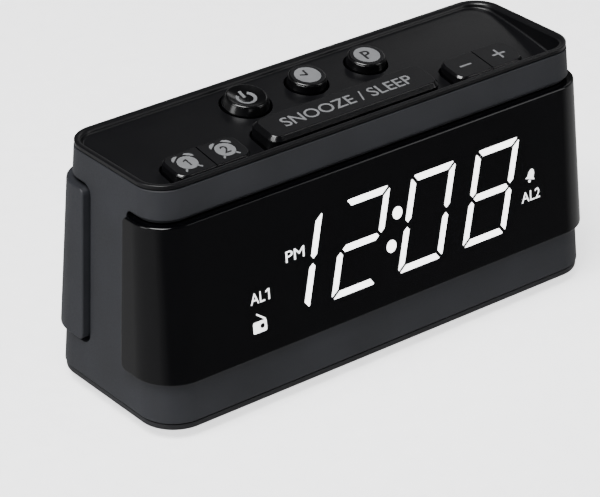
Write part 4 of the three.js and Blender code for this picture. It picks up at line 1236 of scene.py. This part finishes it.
def segment_shapes():
    """The seven segments by their usual letters, a at the top and on clockwise, g at the waist."""
    w, h, s, g = DIGIT_HALF_WIDTH, DIGIT_HALF_HEIGHT, SEGMENT / 2, SPLIT
    top = [
        (-w - s + g + NIP, h + s), (-w - s + g + NIP / 2, h + s - NIP / 2), (-w + s + g, h - s),
        (w - s - g, h - s), (w + s - g - NIP / 2, h + s - NIP / 2), (w + s - g - NIP, h + s),
    ]
    upper = [
        (w + s, h + s - g - NIP), (w + s - NIP / 2, h + s - g - NIP / 2), (w - s, h - s - g),
        (w - s, s + g), (w, g), (w + s, s + g),
    ]
    middle = [
        (-w + g, 0), (-w + s + g, s), (w - s - g, s), (w - g, 0), (w - s - g, -s), (-w + s + g, -s),
    ]
    return {
        "a": top, "b": upper, "c": turned_over(upper, 1, -1), "d": turned_over(top, 1, -1),
        "e": turned_over(upper, -1, -1), "f": turned_over(upper, -1, 1), "g": middle,
    }


def slanted(shape, x):
    """An outline leaned to the right and moved to x."""
    return [(x + px + DIGIT_SLANT * py, py) for px, py in shape]


print("a digit is", round(2 * DIGIT_HALF_HEIGHT + SEGMENT, 2), "mm tall, with strokes of", SEGMENT, "mm")

# %% [markdown]
# The display shows 12:08, so each digit lights its own segments. The film that shines through is
# drawn as one piece for each digit, and the two dots of the colon lean as the digits do.

# %% The lit digits
FILM = 0.04
COLON_RADIUS, COLON_STRETCH = 1.45, 1.1
COLON_ACROSS, COLON_UP = 1.15, 3.95
LIT = {"hours_tens": "bc", "hours": "abged", "minutes_tens": "abcdef", "minutes": "abcdefg"}
segments = segment_shapes()
for place_index, (name, letters) in enumerate(LIT.items()):
    x = (place_index - 1.5) * DIGIT_PITCH
    shapes = [slanted(segments[letter], x) for letter in letters]
    printed("digit_" + name, shapes, face_wall, "root", lit_film, "white_diffuser", FILM)
colon = []
for sign in (-1, 1):
    centre = (0.1 + sign * COLON_ACROSS, sign * COLON_UP)
    colon.append([(centre[0] + x, centre[1] + y * COLON_STRETCH) for x, y in disc(COLON_RADIUS)])
printed("digit_colon", colon, face_wall, "root", lit_film, "white_diffuser", FILM)
print("display centre:", [round(v, 2) for v in face_wall.translation])

# %% [markdown]
# Beside the digits stand small signs for the afternoon and for each alarm. They are masks over
# one weak diode each, so they glow less than the time does.

# %% Small lit signs
def sign_at(x, z):
    """A matrix on the window's face, at a place given across and up."""
    rise = (z - face_wall.translation.z) / face_wall.col[1].z
    return face_wall @ Matrix.Translation((x - face_wall.translation.x, rise, 0))


for name, text, x, z, width, height in (
    ("pm_sign", "PM", -27.35, 36.85, 5.4, 2.75),
    ("alarm_1_sign", "AL", -38.75, 29.65, 4.1, 2.75),
    ("alarm_2_sign", "AL2", 45.05, 28.75, 5.9, 2.7),
):
    lettering(
        name, text, width, height, sign_at(x, z), "root", symbol_film,
        "white_diffuser", FILM, weight=0.0,
    )

printed(
    "alarm_1_sign_numeral", numeral_one(2.75, 0.4), sign_at(-35.7, 29.65), "root", symbol_film,
    "white_diffuser", FILM,
)
print("the face stands at", round(math.degrees(face_wall.to_euler().x), 2), "degrees to the table")

# %% [markdown]
# Each alarm can wake with the radio or with a bell, and a sign says which. The radio is a box
# with its aerial out and a dark dial; the bell is drawn plain and set at a slant, as if it rang.

# %% Radio and bell signs
RADIO_AT, BELL_SIGN_AT, BELL_SLANT = (-38.65, 22.3), (45.3, 34.2), -18
DIAL_LIFT, DIAL_FILM = 0.045, 0.02
BELL_SIDE = [(1.5, -1.2), (1.0, -0.6), (0.9, 0.5), (0.5, 1.2)]
radio = [rounded(1.95, 1.45, [0.4] * 4, 3)]
radio.append(bar((1.7, 1.5), (-0.8, 3.4), 0.38))
printed("radio_sign", radio, sign_at(*RADIO_AT), "root", symbol_film, "white_diffuser", FILM)
printed(
    "radio_dial", [disc(0.62, (0.7, 0.1), 20)], sign_at(*RADIO_AT), "root", window_acrylic,
    "black_acrylic", DIAL_FILM, DIAL_LIFT,
)
bell = [(-x, y) for x, y in BELL_SIDE] + [(0, 1.45)] + BELL_SIDE[::-1]
bell_tilt = sign_at(*BELL_SIGN_AT) @ Matrix.Rotation(math.radians(BELL_SLANT), 4, "Z")
printed(
    "bell_sign", [bell, disc(0.38, (0, -1.7), 16)], bell_tilt, "root", symbol_film,
    "white_diffuser", FILM,
)

# %% [markdown]
# ## Underside and back
# The base plate closes the case from below. Four rubber feet stand in it, four screws hold it,
# and a round door that turns with a coin covers the backup cell.

# %% Base plate
PLATE_SEAM = 0.3
PLATE_HIGH = CASE_LOW - PLATE_SEAM
PLATE_EDGE = 0.5
DOOR_HOLE, SCREW_HOLE = 11.5, 2.7
PLATE_HOLE_LOW, PLATE_HOLE_HIGH = -2, 8
SCREW_SIDES = 32


def base_plate():
    """The plate with its lower edge rounded."""
    edge = PLATE_EDGE
    loops = [panel_ring(PLATE_HIGH, -PLATE_INSET, Z_LOW)]
    loops += [
        panel_ring(Z_LOW + edge * (1 - math.sin(t)), -PLATE_INSET - edge * (1 - math.cos(t)), Z_LOW)
        for t in quarter(ROUNDING_STEPS)
    ]
    return solid("bottom_plate", skin(loops, "rungs", "rungs"))


def centre_of(node):
    """Middle of a frame node's underside."""
    low, high = corner_mm(node, False), corner_mm(node)
    return Vector(((low.x + high.x) / 2, (low.y + high.y) / 2, low.z))


def plate_hole(name, radius, centre, sides=ROUND_SIDES):
    profile = [[radius, PLATE_HOLE_LOW], [radius, PLATE_HOLE_HIGH]]
    return turned(name, profile, Matrix.Translation((centre.x, centre.y, 0)), sides)


door_centre = centre_of("coin_cell")
CORNERS = ("front_left", "front_right", "rear_left", "rear_right")
plate_tools = [plate_hole("door_hole", DOOR_HOLE, door_centre)]
for corner in CORNERS:
    at = centre_of("case_screw_" + corner)
    plate_tools.append(plate_hole("screw_hole", SCREW_HOLE, at, SCREW_SIDES))
bottom_plate = shaded(cut(base_plate(), *plate_tools))
fit(bottom_plate, "root", "grey_abs", replaces=["base_plate"])
print("plate from", round(Z_LOW, 2), "to", round(PLATE_HIGH, 2), "mm")

# %% [markdown]
# The feet are pressed from rubber with a rounded sole, so they grip without marking the table.
# Each screw is turned steel with a cross recess, and its shank reaches up into the case.

# %% Feet and screws
FOOT_SIDES = 48
SCREW_PROFILE = [[0.6, 0], [1.9, 0.05], [2.3, 0.3], [2.4, 0.7], [1.2, 0.7], [1.2, 9.7], [0.4, 10.6]]
RECESS_LONG, RECESS_SHORT, RECESS_DEPTH = 1.3, 0.28, 0.6
for corner in CORNERS:
    at = centre_of("foot_" + corner)
    low, high = corner_mm("foot_" + corner, False), corner_mm("foot_" + corner)
    r, top = (high.x - low.x) / 2, high.z
    profile = [[r - 0.5, 0], [r - 0.15, 0.15], [r, 0.5], [r, top - 0.1], [r - 0.1, top]]
    sole = Matrix.Translation((at.x, at.y, 0))
    foot = turned("rubber_foot_" + corner, profile, sole, FOOT_SIDES)
    fit(shaded(foot), "root", "soft_rubber", replaces=["foot_" + corner])

    at = Matrix.Translation(centre_of("case_screw_" + corner))
    recess = [
        prism("recess", rounded(*size, [0.05] * 4, 2), -1, RECESS_DEPTH, at)
        for size in ((RECESS_LONG, RECESS_SHORT), (RECESS_SHORT, RECESS_LONG))
    ]
    fastener = cut(turned("plate_screw_" + corner, SCREW_PROFILE, at, SCREW_SIDES), *recess)
    fit(shaded(fastener), "root", "zinc_steel", replaces=["case_screw_" + corner])
print("feet and screws:", 2 * len(CORNERS))

# %% [markdown]
# The battery door is a disc with a slot for the edge of a coin. Two lugs on its rim catch on
# ramps inside the plate when it turns. The ramps are out of sight, so they are left out.

# %% The battery door
DOOR_RADIUS = 11.2
DOOR_SIDES = 96
COIN_SLOT_LONG, COIN_SLOT_SHORT, COIN_SLOT_DEPTH = 7.8, 1.0, 0.9
LUG_LONG, LUG_SHORT, LUG_THICKNESS = 12.5, 2.2, 0.8
door_at = Matrix.Translation((door_centre.x, door_centre.y, 0))
door_top = corner_mm("battery_door").z
door_profile = [
    [DOOR_RADIUS - 0.5, Z_LOW], [DOOR_RADIUS - 0.1, Z_LOW + 0.1],
    [DOOR_RADIUS, Z_LOW + 0.4], [DOOR_RADIUS, door_top],
]
door = turned("coin_door", door_profile, door_at, DOOR_SIDES)
coin_slot = rounded(COIN_SLOT_LONG, COIN_SLOT_SHORT, [0.9] * 4, 5)
slot_tool = prism("coin_slot", coin_slot, Z_LOW - 1, Z_LOW + COIN_SLOT_DEPTH, door_at)
lug_bar = rounded(LUG_LONG, LUG_SHORT, [0.3] * 4, 2)
lugs = prism("lugs", lug_bar, door_top - LUG_THICKNESS, door_top, door_at)
door = join(cut(door, slot_tool), lugs)
fit(shaded(door), "battery_door", "grey_abs", replaces=["battery_door"])
print("door radius", DOOR_RADIUS, "mm at", [round(v, 1) for v in door_centre])

# %% [markdown]
# The power socket is a nylon sleeve with a plated pin in its bore, and the aerial wire's way out
# is closed by a rubber grommet.

# %% Socket and grommet
SOCKET_SIDES, GROMMET_SIDES, WIRE_SIDES = 48, 40, 24
SOCKET_PROFILE = [[3.9, -3.4], [3.9, -1.7], [3.7, -1.5]]
SOCKET_BORE = [[2.8, -10.9], [2.8, -1.8], [3.1, -1.4], [3.1, 0]]
BLOCK_HALF, BLOCK_LOW, BLOCK_HIGH = 5.0, -12.9, -2.9
PIN_PROFILE = [[1.0, -11.2], [1.0, -3.2], [0.85, -2.8], [0.5, -2.6]]
GROMMET_PROFILE = [
    [3.8, -4.1], [3.8, -2.9], [2.6, -2.9], [2.6, 0.7], [2.4, 1.0], [1.6, 1.1], [0.9, 1.0],
]
WIRE_HOLE = [[0.8, -6], [0.8, 3]]
sleeve_end = turned("power_socket", SOCKET_PROFILE, socket_wall, SOCKET_SIDES)
block_outline = rounded(BLOCK_HALF, BLOCK_HALF, [0.4] * 4, 3)
block = prism("block", block_outline, BLOCK_LOW, BLOCK_HIGH, socket_wall)
bore = turned("bore", SOCKET_BORE, socket_wall, SOCKET_SIDES)
power_socket = cut(join(sleeve_end, block), bore)
fit(shaded(power_socket), "root", "socket_nylon", replaces=["dc_socket"])
pin = turned("socket_pin", PIN_PROFILE, socket_wall, SCREW_SIDES)
fit(shaded(pin), "root", "nickel_steel")
grommet = cut(
    turned("aerial_grommet", GROMMET_PROFILE, aerial_wall, GROMMET_SIDES),
    turned("wire_hole", WIRE_HOLE, aerial_wall, WIRE_SIDES),
)
fit(shaded(grommet), "root", "soft_rubber", replaces=["antenna_grommet"])
print("socket and grommet faces:", len(power_socket.data.polygons), len(grommet.data.polygons))

# %% [markdown]
# ## Floor, light and camera
# The clock stands on a light table: a milky sheet that glows a little, so the ground is pale
# and the shadow soft. A wide soft light hangs above, a second stands far to the left to lift
# the end of the case, and a third at the right lifts the front. Narrow strips behind and in front
# draw the light lines along the key edges. The room is dim in front, where the window looks, so
# the window stays black, and brighter at both sides, so that its round ends show.

# %% The light table
FLOOR_SIZE = 8.0
FLOOR_GLOW = 1.8
bpy.ops.mesh.primitive_plane_add(size=FLOOR_SIZE, location=(0, 0, 0))
floor = bpy.context.object
floor.name = "floor"
# Opal acrylic, lit from below: a near-white ground that keeps a soft shadow.
floor_finish = glowing("light_table_acrylic", "#f6f6f7", FLOOR_GLOW)
floor.data.materials.append(floor_finish)
floor.visible_glossy = False  # its glow would turn the black window grey
print("floor", FLOOR_SIZE, "m wide, glow", FLOOR_GLOW)

# %% [markdown]
# The lights are real softbox sizes, with their power in watts. A large lamp gives a broad, quiet
# sheen and a narrow one gives a line, so the size matters as much as the power does.

# %% Lights
def soft_light(name, place_at, target, size, power_watts):
    """A rectangular lamp that faces its target; places and sizes are in metres."""
    data = bpy.data.lights.new(name, "AREA")
    data.shape = "RECTANGLE"
    data.size, data.size_y = size
    data.energy = power_watts
    lamp = bpy.data.objects.new(name, data)
    lamp.location = place_at
    lamp.rotation_euler = (Vector(target) - Vector(place_at)).to_track_quat("-Z", "Y").to_euler()
    bpy.context.scene.collection.objects.link(lamp)
    return lamp


soft_light("overhead_softbox", (-0.5, -0.2, 1.3), (0, 0, 0.03), (0.8, 0.8), 40.0)
soft_light("left_softbox", (-1.1, 0.1, 0.45), (0, 0, 0.03), (0.4, 0.8), 4.0)
soft_light("front_strip", (0.75, -0.66, 0.95), (0, 0, 0.05), (0.5, 0.15), 1.0)
soft_light("right_softbox", (1.0, -1.0, 0.45), (0, 0, 0.03), (0.5, 0.5), 3.0)
soft_light("back_strip", (0.95, 0.6, 0.75), (0, 0, 0.05), (0.5, 0.2), 0.5)
print("lamps:", [lamp.name for lamp in bpy.data.lights])

# %% [markdown]
# Glossy black shows the room more than itself, so the room has a brightness for each direction:
# dim in front and overhead, and brighter at the ends. In a real studio, black cloth does this.
# An image of a room could do it too, but two ramps are easier to tune.

# %% The room
FRONT_LEVEL, END_LEVEL, ROOF_LEVEL = 0.12, 0.5, 0.1
FRONT_EDGE, END_EDGE, ROOF_EDGE = -0.72, -0.35, 0.3
world = bpy.data.worlds.new("studio")
bpy.context.scene.world = world
world.use_nodes = True
tree = world.node_tree
background = tree.nodes["Background"]
background.inputs["Color"].default_value = linear("#ffffff")
direction = add(tree, "ShaderNodeTexCoord").outputs["Generated"]
parts = add(tree, "ShaderNodeSeparateXYZ", Vector=direction).outputs
ends = add(
    tree, "ShaderNodeMapRange", Value=parts["Y"], From_Min=FRONT_EDGE, From_Max=END_EDGE,
    To_Min=FRONT_LEVEL, To_Max=END_LEVEL,
).outputs["Result"]
room = add(
    tree, "ShaderNodeMapRange", Value=parts["Z"], From_Min=0.0, From_Max=ROOF_EDGE,
    To_Min=1.0, To_Max=ROOF_LEVEL,
).outputs["Result"]
level = add(tree, "ShaderNodeMath", {"operation": "MULTIPLY"}, i0=ends, i1=room)
tree.links.new(level.outputs["Value"], background.inputs["Strength"])
print("room brightness in front, at the ends, overhead:", FRONT_LEVEL, END_LEVEL, ROOF_LEVEL)

# %% [markdown]
# A long lens from some way back keeps the upright edges nearly parallel.
# The camera looks down from the front left, so that the display, the end of the case and the
# keys all show.

# %% Camera
SENSOR_MM, LENS_MM = 36.0, 172.76
CAMERA_AT = (-0.38274, -0.47914, 0.35286)
YAW, PITCH, ROLL = 37.976, 28.514, -0.393
data = bpy.data.cameras.new("camera")
data.sensor_width = SENSOR_MM
data.lens = LENS_MM
data.clip_start, data.clip_end = 0.02, 20.0
camera = bpy.data.objects.new("camera", data)
yaw, pitch, roll = (math.radians(v) for v in (YAW, PITCH, ROLL))
sight = Vector((math.cos(pitch) * math.sin(yaw), math.cos(pitch) * math.cos(yaw), -math.sin(pitch)))
right = Vector((math.cos(yaw), -math.sin(yaw), 0))
up = right.cross(sight)
tilted_right = right * math.cos(roll) + up * math.sin(roll)
tilted_up = up * math.cos(roll) - right * math.sin(roll)
turn = Matrix((tilted_right, tilted_up, -sight)).transposed().to_4x4()
camera.matrix_world = Matrix.Translation(CAMERA_AT) @ turn
bpy.context.scene.collection.objects.link(camera)
bpy.context.scene.camera = camera
print("camera", round(Vector(CAMERA_AT).length, 2), "m away, lens", LENS_MM, "mm")
